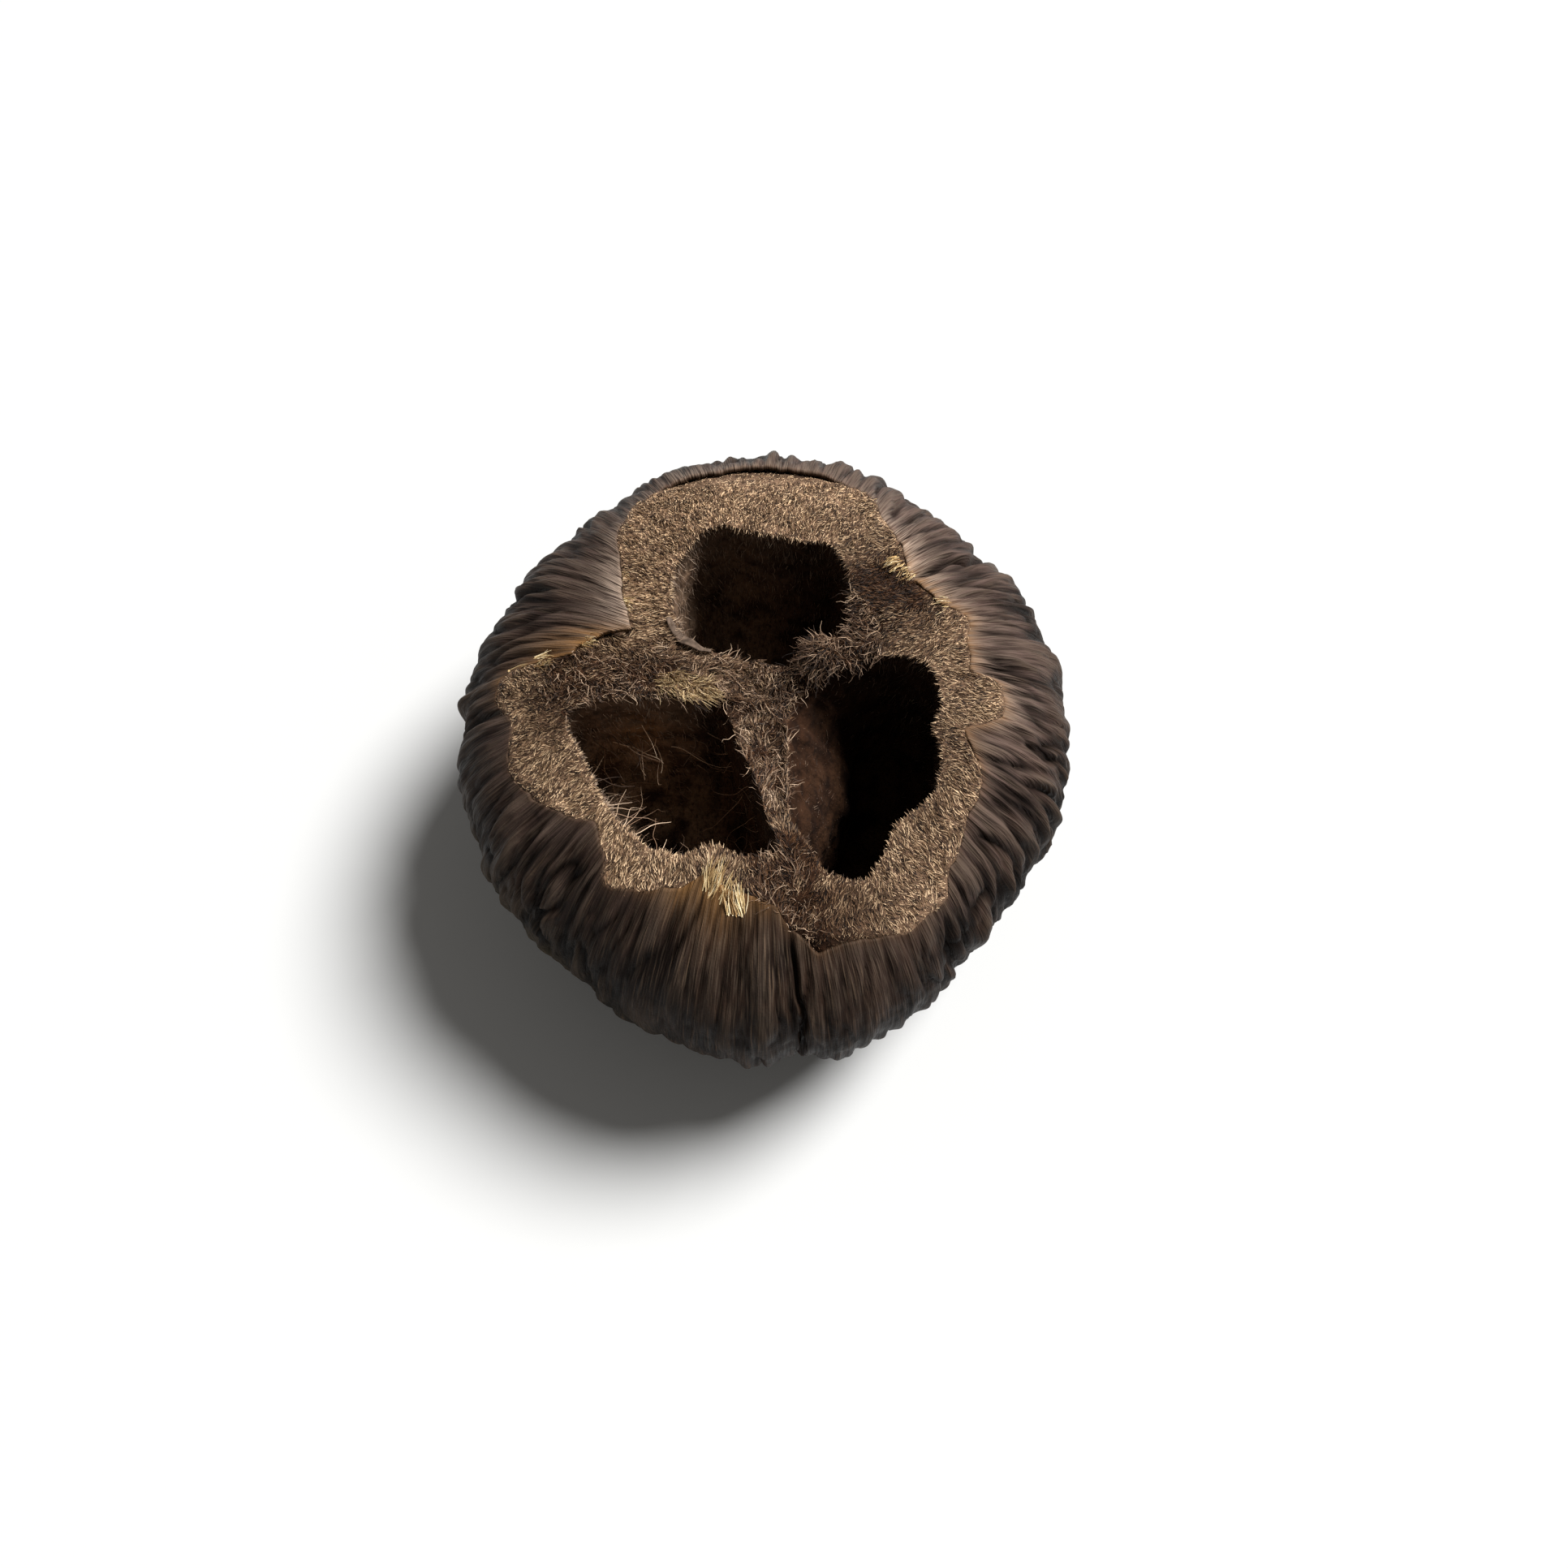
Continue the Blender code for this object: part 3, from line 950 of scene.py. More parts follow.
    def build(self) -> bpy.types.Object:
        """Makes the skin's object.

        Returns:
            The object husk_skin.
        """
        item = self.surface().to_object("husk_skin", self.finish.material())
        point_outwards(item)
        return item


# ---------------------------------------------------------------- flesh


@dataclass(frozen=True)
class Hollow:
    """One seed chamber below its mouth."""

    chamber: Chamber
    # the mouth, as (x, y) in millimetres from the body's axis
    mouth: tuple[tuple[float, float], ...]
    # how far its wall leans in, towards this direction, as (x, y) in millimetres
    lean: tuple[float, float]
    # the lean grows from none to full between these distances along y, in millimetres
    lean_span: tuple[float, float] = (-100.0, -99.0)
    floor: float = 13 * MM
    bulge: float = 0.08
    roundness: float = 2.5


@dataclass(frozen=True)
class Lump:
    """One round rise of the torn face, in millimetres from the body's axis."""

    x: float
    y: float
    reach_x: float
    reach_y: float
    rise: float

    def at(self, x: Array, y: Array) -> Array:
        """How much it adds to the face.

        Args:
            x: Distances to the right of the body's axis, in metres.
            y: Distances behind it.

        Returns:
            Millimetres, of the same shape.
        """
        across = (x - self.x * MM) / (self.reach_x * MM)
        along = (y - self.y * MM) / (self.reach_y * MM)
        return self.rise * np.exp(-(across ** 2 + along ** 2))


@dataclass(frozen=True)
class Oval:
    """A patch of the torn face that grows its own fibres, in millimetres."""

    x: float
    y: float
    reach_x: float
    reach_y: float

    def holds(self, x: Array, y: Array) -> Array:
        """Whether plan points given in metres lie in the patch."""
        return ((x / MM - self.x) / self.reach_x) ** 2 + ((y / MM - self.y) / self.reach_y) ** 2 < 1


@dataclass
class Flesh:
    """The fibrous flesh: its torn face, three chambers and a hidden outer wall."""

    form: HuskForm
    finish: FleshFinish = field(default_factory=FleshFinish)
    spacing: float = 0.5 * MM
    mouth_points: int = 230
    rim_points: int = 420
    wall_rings: int = 60
    tuck: float = 1.3 * MM
    # the wall under the skin: rings by share of the way from the equator up to the rim or down
    hidden_rings: tuple[float, ...] = (0.9, 0.75, 0.55, 0.3, 0.1, -0.15, -0.4, -0.65, -0.85, -0.97)
    skin_gap: float = 3.2 * MM
    foot_radius: float = 6 * MM
    foot_height: float = 4.5 * MM
    lumps: tuple[Lump, ...] = (
        Lump(9.3, 7.2, 2.6, 2.2, 3.6), Lump(-12, 2.4, 4.5, 1.9, 1.4), Lump(-2.2, 0.5, 3.0, 3.0, 1.6),
    )
    pad: Oval = Oval(-12.4, 2.3, 4.9, 2.1)
    clump: Oval = Oval(9.3, 7.4, 4.0, 2.6)
    # amber stains on the chamber walls, as (x, y, z) in millimetres, and how far they reach
    stains: tuple[tuple[float, float, float], ...] = ((-25, -8, 40), (19, -26, 34), (-20, 4, 48))
    stain_reach: tuple[float, float, float] = (4, 4, 6)
    hollows: tuple[Hollow, ...] = (
        Hollow(Chamber.BACK, (
            (-6, 28.6), (-10, 26.3), (-12.6, 22.3), (-14.2, 18), (-13.8, 13), (-12.2, 9.3),
            (-9, 8.6), (-4.5, 8.2), (0.9, 7.2), (5, 6.6), (6.6, 9.6), (13, 9.8), (14.4, 14.5),
            (14.1, 20), (11.1, 24.6), (5.7, 25.4), (-1.7, 27.2)), (3.0, 0.0)),
        Hollow(Chamber.LEFT, (
            (-29.3, -1.8), (-22, -0.3), (-16.3, 0), (-11.1, 0.2), (-6.8, 1.4), (-5.2, -3),
            (-1.8, -12.8), (0.2, -20.9), (1.3, -26.6), (-4.2, -27), (-8, -25.2), (-13.7, -26.6),
            (-19.5, -23.7), (-24.1, -18.3), (-27.5, -11.4), (-30.3, -5.7)), (3.5, 0.5)),
        Hollow(Chamber.RIGHT, (
            (16.1, 5.4), (24, 4.3), (26.5, 1.8), (27.7, -3.1), (26.2, -7.4), (27.1, -11.5),
            (25.3, -17.5), (20, -22.3), (17.4, -27.4), (14.1, -31), (9, -30), (6, -25.8),
            (3.4, -20.5), (3.5, -9.7), (5.2, 1.2)), (11.0, 0.0), (-30.0, -3.0)),
    )

    def mouth_loop(self, hollow: Hollow) -> Array:
        """The chamber's ragged mouth in plan, at even spacing, anticlockwise.

        Args:
            hollow: The chamber.

        Returns:
            The mouth's points, of shape (mouth_points, 2).
        """
        loop = even_spacing(closed_curve(hollow.mouth, 12), self.mouth_points)
        if np.sum(loop[:, 0] * np.roll(loop[:, 1], -1) - np.roll(loop[:, 0], -1) * loop[:, 1]) < 0:
            loop = loop[::-1]
        outward = np.roll(loop, 1, axis=0) - np.roll(loop, -1, axis=0)
        outward = np.stack([-outward[:, 1], outward[:, 0]], axis=1)
        outward /= np.linalg.norm(outward, axis=1, keepdims=True)
        cells = np.c_[loop / MM, np.zeros(len(loop))]
        ragged = 0.35 * Grain(Seed.MOUTH_RAGGED).at(cells / 5.5)
        ragged = ragged + 0.28 * Grain(Seed.MOUTH_NICKS).at(cells / 2.0)
        return loop + outward * (ragged * MM)[:, None]

    def height(self, x: Array, y: Array) -> Array:
        """Height of the torn face: under the skin, sunk at the hub, and lumpy.

        Args:
            x: Distances to the right of the body's axis.
            y: Distances behind it.

        Returns:
            Heights above the ground, of the same shape.
        """
        form = self.form
        radius, azimuth = np.hypot(x, y), np.arctan2(y, x)
        edge = form.edge(azimuth)
        dip = form.hub_dip * np.exp(-((radius / form.hub_dip_radius) ** 2))
        tucked = smoothstep(-0.2 * MM, self.tuck, radius - edge)
        sunk = 0.6 * smoothstep(0, 4 * MM, edge - radius) - 0.2
        level = form.crown(radius, azimuth) - sunk * MM - dip - 1.9 * MM * tucked
        thin = np.exp(-(((x - 1.8 * MM) / (2.6 * MM)) ** 2)) * smoothstep(-25 * MM, -17 * MM, y)
        thin = thin * smoothstep(-3 * MM, -9 * MM, y)
        level = level + (sum(lump.at(x, y) for lump in self.lumps) - 3.2 * thin) * MM
        cells = np.stack([x, y, 0 * x], axis=-1) / MM
        loose = 1 - smoothstep(14 * MM, 27 * MM, radius)
        lumps = 0.45 * Grain(Seed.FACE_LUMPS).at(cells / 5.0)
        lumps = lumps + (0.25 + 1.0 * loose) * Grain(Seed.FACE_BUMPS).at(cells / 2.1)
        lumps = lumps + (0.16 + 0.45 * loose) * Grain(Seed.FACE_CRUMBS).at(cells / 0.9)
        return level + lumps * MM * smoothstep(-1.0 * MM, 2.5 * MM, edge - radius)

    def face_surface(self, rim: Array, mouths: list[Array]) -> tuple[Array, list[tuple[int, ...]]]:
        """Fills the torn face between its rim and the mouths.

        Args:
            rim: The rim's loop in plan.
            mouths: The mouths' loops in plan.

        Returns:
            Plan points, which begin with the rim and then each mouth, and triangles.
        """
        rng = np.random.default_rng(Seed.FACE_GRID)
        reach = np.abs(rim).max()
        across = np.arange(-reach, reach, self.spacing)
        grid = np.stack(np.meshgrid(across, across * 0.866, indexing="ij"), axis=-1)
        grid[:, 1::2, 0] += self.spacing / 2
        grid = grid.reshape(-1, 2) + rng.uniform(-0.22, 0.22, (grid.size // 2, 2)) * self.spacing
        loops = [rim, *mouths]
        keep = within(rim, grid)
        for loop in mouths:
            keep &= ~within(loop, grid)
        grid = grid[keep]
        border = np.concatenate(loops)
        near = np.ones(len(grid), bool)
        for start in range(0, len(grid), CHUNK):
            gap = np.linalg.norm(grid[start:start + CHUNK, None] - border[None], axis=-1).min(axis=1)
            near[start:start + CHUNK] = gap > 0.3 * self.spacing
        grid = grid[near]
        plan = np.vstack([border, grid])
        edges, first = [], 0
        for loop in loops:
            ids = np.arange(len(loop)) + first
            edges += list(zip(ids.tolist(), np.roll(ids, -1).tolist()))
            first += len(loop)
        scaled = [Vector((x, y)) for x, y in (plan / MM).tolist()]
        made, _, faces, origin, _, _ = delaunay_2d_cdt(scaled, edges, [], 0, 1e-5)
        back = np.array([ids[0] for ids in origin])
        if len(made) != len(plan):
            LOG.warning("the torn face merged %d points", len(plan) - len(made))
        triangles = back[np.array(faces)]
        middle = plan[triangles].mean(axis=1)
        keep = within(rim, middle)
        for loop in mouths:
            keep &= ~within(loop, middle)
        return plan, [tuple(face) for face in triangles[keep].tolist()]

    def chamber_rings(self, hollow: Hollow, mouth: Array, heights: Array) -> list[Array]:
        """Rings of points down one chamber, under its mouth.

        Args:
            hollow: The chamber.
            mouth: Its mouth's loop in plan.
            heights: The height of each point of the mouth.

        Returns:
            Rings of shape (n, 3), the last of them small, round the floor's middle.
        """
        plain = even_spacing(closed_curve(hollow.mouth, 12), self.mouth_points)
        start = np.argmin(np.linalg.norm(plain - mouth[0], axis=1))
        plain = np.roll(plain, -start, axis=0)
        if np.linalg.norm(plain[10] - mouth[10]) > np.linalg.norm(plain[-10] - mouth[10]):
            plain = np.roll(plain[::-1], 1, axis=0)
        lean = np.array(hollow.lean) * MM
        centre = plain.mean(axis=0)
        direction = lean / max(np.linalg.norm(lean), 1e-9)
        side = (plain - centre) @ direction
        towards = np.clip(0.5 - side / (side.max() - side.min()), 0, 1)
        towards = towards * smoothstep(*(np.array(hollow.lean_span) * MM), plain[:, 1])
        rings = []
        for ring in range(1, self.wall_rings + 1):
            fall = (ring / self.wall_rings) ** 1.12
            calm = smoothstep(0.0, 0.12, np.array(fall))
            section = mouth * (1 - calm) + plain * calm
            section = section * (1 + hollow.bulge * math.sin(math.pi * min(fall * 1.05, 1.0)))
            section = section + np.outer(towards, lean) * (1 - (1 - min(fall / 0.6, 1.0)) ** 1.4)
            middle = section.mean(axis=0)
            closing = max(1 - fall ** (hollow.roundness * 2), 0.0) ** (1 / hollow.roundness)
            section = middle + (section - middle) * max(closing, 0.02)
            level = heights * (1 - fall) + hollow.floor * fall
            rings.append(np.c_[section, level])
        return rings

    def roughen(self, rings: Array) -> Array:
        """Moves the points of a chamber's wall in and out, as matted felt.

        Args:
            rings: The wall's rings of points, of shape (rings, n, 3).

        Returns:
            The moved points, of the same shape.
        """
        across = np.roll(rings, -1, axis=1) - np.roll(rings, 1, axis=1)
        normal = np.cross(across, np.gradient(rings, axis=0))
        normal /= np.maximum(np.linalg.norm(normal, axis=-1, keepdims=True), 1e-12)
        cells = rings / MM * [1, 1, 0.55]
        rough = 0.8 * Grain(Seed.WALL_LUMPS).at(cells / 6.0) + 0.5 * Grain(Seed.WALL_BUMPS).at(cells / 2.4)
        rough = rough + 0.16 * Grain(Seed.WALL_CRUMBS).at(cells / 1.1)
        ramp = smoothstep(0, 6, np.arange(len(rings)))[:, None]
        return rings + normal * (rough * MM * ramp)[..., None]

    def surface(self) -> Surface:
        """The closed flesh with the values that its finish and its fibres read.

        Returns:
            The flesh, its points in the frame.
        """
        form = self.form
        azimuth = np.linspace(0, 2 * np.pi, self.rim_points, endpoint=False)
        rim_radius = form.edge(azimuth) + self.tuck
        rim = np.stack([rim_radius * np.cos(azimuth), rim_radius * np.sin(azimuth)], axis=1)
        mouths = [self.mouth_loop(hollow) for hollow in self.hollows]
        plan, faces = self.face_surface(rim, mouths)
        level = self.height(plan[:, 0], plan[:, 1])
        blocks = [np.c_[plan, level]]
        inside, ward = [np.zeros(len(plan))], [self.nearest_mouth(plan, mouths)]
        total, first = len(plan), len(rim)
        for hollow, mouth in zip(self.hollows, mouths):
            ids = np.arange(len(mouth)) + first
            first += len(mouth)
            rings = self.chamber_rings(hollow, mouth, level[ids])
            walls = self.roughen(np.array([blocks[0][ids], *rings]))[1:]
            for ring in walls:
                following = np.arange(len(mouth)) + total
                faces += ring_faces(ids, following)
                ids, total = following, total + len(mouth)
                blocks.append(ring)
            blocks.append(walls[-1].mean(axis=0, keepdims=True))
            faces += fan_faces(ids, total)
            total += 1
            depth = np.repeat(np.arange(1, len(walls) + 1) / len(walls), len(mouth))
            inside.append(np.r_[depth, 1.0])
            ward.append(np.full(len(depth) + 1, hollow.chamber.ward))
        ids = np.arange(len(rim))
        for share in self.hidden_rings:
            ring = self.hidden_ring(azimuth, rim_radius, share)
            following = np.arange(len(rim)) + total
            faces += ring_faces(ids, following)
            ids, total = following, total + len(rim)
            blocks.append(ring)
        blocks.append(np.array([[0.0, 0.0, self.foot_height]]))
        faces += fan_faces(ids, total)
        hidden = len(self.hidden_rings) * len(rim) + 1
        inside.append(np.zeros(hidden))
        ward.append(np.zeros(hidden))
        points = np.vstack(blocks)
        values = {"inside": np.concatenate(inside), "ward": np.concatenate(ward)}
        values["hidden"] = np.r_[np.zeros(len(points) - hidden), np.ones(hidden)]
        self.add_values(points, values, mouths)
        return Surface(points + form.axis(), faces, values)

    def hidden_ring(self, azimuth: Array, rim_radius: Array, share: float) -> Array:
        """One ring of the wall under the skin.

        Args:
            azimuth: The azimuths of the ring's points.
            rim_radius: Distances from the axis to the rim at those azimuths.
            share: 1 at the rim, 0 at the equator and -1 at the foot.

        Returns:
            The ring's points, of shape (n, 3).
        """
        form, gap = self.form, self.skin_gap
        equator = form.equator(azimuth) - gap
        if share >= 0:
            last = np.arccos(np.clip((rim_radius / (equator + gap)) ** (form.crown_power / 2), 0, 1))
            angle = last * share
            radius = equator * np.cos(angle) ** (2 / form.crown_power)
            rise = (form.crown_rise - gap) * np.sin(angle) ** (2 / form.crown_power)
            level = form.equator_height + rise
        else:
            angle = np.pi / 2 * (1 + share)
            foot, ground = self.foot_radius, self.foot_height
            radius = foot + (equator - foot) * np.sin(angle) ** (2 / form.base_power)
            drop = np.cos(angle) ** (2 / form.base_power)
            level = ground + (form.equator_height - ground) * (1 - drop) + 0 * azimuth
        return np.stack([radius * np.cos(azimuth), radius * np.sin(azimuth), level], axis=1)

    @staticmethod
    def nearest_mouth(plan: Array, mouths: list[Array]) -> Array:
        """The number of the mouth nearest to each plan point.

        Args:
            plan: Plan points, of shape (n, 2).
            mouths: The mouths' loops in plan.

        Returns:
            Ward numbers, of shape (n,).
        """
        gaps = [np.concatenate([np.linalg.norm(plan[start:start + CHUNK, None] - loop[None, ::4],
                                               axis=-1).min(axis=1)
                                for start in range(0, len(plan), CHUNK)]) for loop in mouths]
        return np.argmin(gaps, axis=0).astype(float)

    @staticmethod
    def towards_mouths(plan: Array, border: Array) -> tuple[Array, Array]:
        """The way to the nearest border point, and how far it is.

        Args:
            plan: Plan points, of shape (n, 2).
            border: Points on the mouths' borders, of shape (m, 2).

        Returns:
            Unit vectors of shape (n, 2), and distances of shape (n,).
        """
        lie, gap = np.zeros((len(plan), 2)), np.zeros(len(plan))
        for start in range(0, len(plan), CHUNK):
            away = border[None] - plan[start:start + CHUNK, None]
            distance = np.linalg.norm(away, axis=-1)
            pick = distance.argmin(axis=1)
            rows = np.arange(len(pick))
            gap[start:start + CHUNK] = distance[rows, pick]
            lie[start:start + CHUNK] = away[rows, pick]
        return lie / np.maximum(np.linalg.norm(lie, axis=1, keepdims=True), TINY), gap

    def add_values(self, points: Array, values: dict[str, Array], mouths: list[Array]) -> None:
        """Adds the fibres' lie, cover, length, redness and painted shade, and the amber stains.

        Args:
            points: All points of the flesh, about the body's axis.
            values: The values so far, which the new ones join.
            mouths: The mouths' loops in plan.
        """
        x, y = points[:, 0], points[:, 1]
        radius, azimuth = np.hypot(x, y), np.arctan2(y, x)
        from_edge = self.form.edge(azimuth) - radius
        lie, gap = self.towards_mouths(points[:, :2], np.concatenate(mouths)[::3])
        inward = -points[:, :2] / np.maximum(radius, TINY)[:, None]
        cells = points / MM
        loose = 1 - smoothstep(13 * MM, 24 * MM, radius)
        ridge = around(np.degrees(azimuth), 176, 13) * (1 - smoothstep(30 * MM, 40 * MM, radius))
        wedge = around(np.degrees(azimuth), 40, 19) * (1 - smoothstep(27 * MM, 37 * MM, radius))
        foot = around(np.degrees(azimuth), 274, 19) * smoothstep(22 * MM, 27 * MM, radius)
        loose = np.clip(loose + 0.75 * ridge + 0.35 * wedge + 0.45 * foot, 0, 1)
        turn = (0.5 + 1.4 * loose) * Grain(Seed.LIE_TURN).at(cells / 4.0)
        turn = turn + (0.4 + loose) * Grain(Seed.LIE_TWIST).at(cells / 1.6)
        swung = lie * 0.55 + inward * 0.75
        swung = np.stack([swung[:, 0] * np.cos(turn) - swung[:, 1] * np.sin(turn),
                          swung[:, 0] * np.sin(turn) + swung[:, 1] * np.cos(turn)], axis=1)
        swung /= np.maximum(np.linalg.norm(swung, axis=1, keepdims=True), TINY)
        face = (values["inside"] == 0) & (values["hidden"] == 0)
        down = np.where(face, 0.0, -0.9)
        values["lie"] = np.c_[swung, down]
        sparse = smoothstep(-0.4 * MM, 0.1 * MM, from_edge) * (1 - 0.3 * loose)
        values["cover"] = np.where(face, sparse, 1.0)
        values["loose"] = loose
        values["gap"] = np.where(face, gap, 0.0) / MM
        wall = around(np.degrees(azimuth), 266, 16) * (1 - smoothstep(24 * MM, 28 * MM, radius))
        redden = 0.02 + 0.7 * ridge + 0.85 * foot + 0.95 * wedge + 0.7 * loose + 0.8 * wall
        sides = around(np.degrees(azimuth), 345, 48) + around(np.degrees(azimuth), 188, 22)
        redden = np.clip(redden + 0.28 * sides + 0.26 * Grain(Seed.REDDENING).at(cells / 6), 0, 1)
        # painted shade on the chamber walls: darker towards the right of each mouth, away from the key
        # light, and the whole right chamber dark
        centre = np.array([mouth[:, 0].mean() for mouth in mouths])
        ward = np.round(values["ward"]).astype(int)
        shaded = smoothstep(-4 * MM, 9 * MM, x - centre[ward])
        lit = np.where(ward == Chamber.BACK.ward, 0.3, 0.05) * (1 - shaded)
        walls = np.where(ward == Chamber.RIGHT.ward, 1.0, lit + 0.9 * shaded)
        values["redness_and_shade"] = np.where(face, redden, walls)
        amber = np.zeros(len(points))
        for stain in self.stains:
            away = (points - np.array(stain) * MM) / MM
            amber = np.maximum(amber, np.exp(-np.sum((away / self.stain_reach) ** 2, axis=1)))
        values["amber"] = amber * (values["inside"] > 0)
        for name, oval in (("pad", self.pad), ("clump", self.clump)):
            values[name] = (face & oval.holds(x, y)) * 1.0


# ---------------------------------------------------------------- fibres


@dataclass(frozen=True)
class Growth:
    """How one kind of fibre grows over a surface."""

    name: str
    density: float  # fibres on a square metre
    length: float
    thickness: float  # radius at the root
    lift: float  # how far it turns from its lie towards the surface's normal
    spread: float  # how far it turns towards a random direction
    curl: float = 0.0  # how far the tip may move
    kink: float = 300.0  # scale of the noise that bends it
    joints: int = 3  # points along it
    redness_and_shade: float = 1.0  # share of the surface's redness and painted shade that it takes
    trimmed: bool = False  # shorter close to a mouth
    seed: int = 1


class FibreTree:
    """The Geometry Nodes tree that grows tapered fibres over a surface.

    The surface's own values say where they grow (cover), which way they lie
    (lie), and how long they are (reach).
    """

    INPUTS: tuple[tuple[str, str], ...] = (
        ("Density", "NodeSocketFloat"), ("Length", "NodeSocketFloat"),
        ("Thickness", "NodeSocketFloat"), ("Lift", "NodeSocketFloat"),
        ("Spread", "NodeSocketFloat"), ("Curl", "NodeSocketFloat"),
        ("Kink", "NodeSocketFloat"), ("Joints", "NodeSocketInt"),
        ("Seed", "NodeSocketInt"), ("Finish", "NodeSocketMaterial"),
    )

    def __init__(self) -> None:
        """Builds the tree once, for every kind of fibre."""
        self.tree = bpy.data.node_groups.new("grown fibres", "GeometryNodeTree")
        sockets = self.tree.interface
        sockets.new_socket("Surface", in_out="INPUT", socket_type="NodeSocketGeometry")
        for name, kind in self.INPUTS:
            sockets.new_socket(name, in_out="INPUT", socket_type=kind)
        sockets.new_socket("Fibres", in_out="OUTPUT", socket_type="NodeSocketGeometry")
        self.wire()

    def wire(self) -> None:
        """Adds and joins the nodes."""
        nodes = Nodes(self.tree)
        given = nodes.add("NodeGroupInput").outputs
        value = {name: self.named(nodes, name) for name in ("cover", "reach")}
        lie = nodes.add("GeometryNodeInputNamedAttribute", {"data_type": "FLOAT_VECTOR"},
                        Name="lie").outputs["Attribute"]
        roots = nodes.add("GeometryNodeDistributePointsOnFaces", {"distribute_method": "RANDOM"},
                          Mesh=given["Surface"], Seed=given["Seed"],
                          Density=nodes.maths("MULTIPLY", given["Density"], value["cover"]))
        scatter = self.random_vector(nodes, given["Seed"], 1)
        aim = nodes.vectors("ADD", lie, self.scaled(nodes, roots.outputs["Normal"], given["Lift"]))
        aim = nodes.vectors("ADD", aim, self.scaled(nodes, scatter, given["Spread"]))
        turned = nodes.add("FunctionNodeAlignRotationToVector", {"axis": "Z"}, Vector=aim)
        line = nodes.add("GeometryNodeCurvePrimitiveLine", Start=(0.0, 0.0, 0.0), End=(0.0, 0.0, 1.0))
        joined = nodes.add("GeometryNodeResampleCurve", Curve=line.outputs[0], Count=given["Joints"])
        size = nodes.maths("MULTIPLY", given["Length"], value["reach"])
        size = nodes.maths("MULTIPLY", size, self.random_float(nodes, given["Seed"], 2, 0.45, 1.35))
        placed = nodes.add("GeometryNodeInstanceOnPoints", Points=roots.outputs["Points"],
                           Instance=joined.outputs[0], Rotation=turned.outputs[0], Scale=size)
        toned = nodes.add("GeometryNodeStoreNamedAttribute",
                          {"data_type": "FLOAT", "domain": "INSTANCE"},
                          Geometry=placed.outputs[0], Name="tone",
                          Value=self.random_float(nodes, given["Seed"], 3, 0.0, 1.0))
        loose = nodes.add("GeometryNodeRealizeInstances", Geometry=toned.outputs[0])
        share = nodes.add("GeometryNodeSplineParameter").outputs["Factor"]
        bent = self.bend(nodes, loose.outputs[0], share, given["Curl"], given["Kink"])
        taper = nodes.maths("SUBTRACT", 1.0, nodes.maths("MULTIPLY", 0.72, share))
        width = nodes.maths("MULTIPLY", given["Thickness"], taper)
        ring = nodes.add("GeometryNodeCurvePrimitiveCircle", Resolution=FIBRE_SIDES, Radius=1.0)
        tubes = nodes.add("GeometryNodeCurveToMesh", Curve=bent, Profile_Curve=ring.outputs[0],
                          Scale=width, Fill_Caps=True)
        whole = nodes.add("GeometryNodeRealizeInstances", Geometry=tubes.outputs[0])
        dressed = nodes.add("GeometryNodeSetMaterial", Geometry=whole.outputs[0],
                            Material=given["Finish"])
        nodes.add("NodeGroupOutput", Fibres=dressed.outputs[0])

    @staticmethod
    def named(nodes: Nodes, name: str) -> Any:
        """The socket of a named number on the surface."""
        return nodes.add("GeometryNodeInputNamedAttribute", {"data_type": "FLOAT"},
                         Name=name).outputs["Attribute"]

    @staticmethod
    def scaled(nodes: Nodes, vector: Any, factor: Any) -> Any:
        """The vector socket times a number socket."""
        return nodes.add("ShaderNodeVectorMath", {"operation": "SCALE"}, i0=vector,
                         Scale=factor).outputs[0]

    @staticmethod
    def random_vector(nodes: Nodes, seed: Any, offset: int) -> Any:
        """Adds a random vector, each part from -1 to 1.

        Args:
            nodes: The tree's node helper.
            seed: The seed's socket.
            offset: What is added to the seed.

        Returns:
            The vector's socket.
        """
        shifted = nodes.maths("ADD", seed, float(offset))
        node = nodes.add("FunctionNodeRandomValue", {"data_type": "FLOAT_VECTOR"},
                         i0=(-1.0, -1.0, -1.0), i1=(1.0, 1.0, 1.0), Seed=shifted)
        return node.outputs[0]

    @staticmethod
    def random_float(nodes: Nodes, seed: Any, offset: int, low: float, high: float) -> Any:
        """Adds a random number.

        Args:
            nodes: The tree's node helper.
            seed: The seed's socket.
            offset: What is added to the seed.
            low: The least number.
            high: The greatest number.

        Returns:
            The number's socket.
        """
        shifted = nodes.maths("ADD", seed, float(offset))
        node = nodes.add("FunctionNodeRandomValue", {"data_type": "FLOAT"},
                         i2=low, i3=high, Seed=shifted)
        return node.outputs[1]

    def bend(self, nodes: Nodes, curves: Any, share: Any, curl: Any, kink: Any) -> Any:
        """Curls the fibres, more towards their tips.

        Args:
            nodes: The tree's node helper.
            curves: The curves' socket.
            share: The socket of the place along a fibre, 0 to 1.
            curl: The socket of how far a tip may move.
            kink: The socket of how tightly the curls turn.

        Returns:
            The bent curves' socket.
        """
        place = nodes.add("GeometryNodeInputPosition").outputs[0]
        own = nodes.maths("MULTIPLY", self.named(nodes, "tone"), 60.0)
        waves = nodes.add("ShaderNodeTexNoise", {"noise_dimensions": "4D"}, Vector=place, W=own,
                          Scale=kink, Detail=1.0)
        offset = nodes.vectors("SUBTRACT", waves.outputs["Color"], (0.5, 0.5, 0.5))
        amount = nodes.maths("MULTIPLY", nodes.maths("POWER", share, 0.8), curl)
        moved = nodes.add("GeometryNodeSetPosition", Geometry=curves,
                          Offset=self.scaled(nodes, offset, amount))
        return moved.outputs[0]

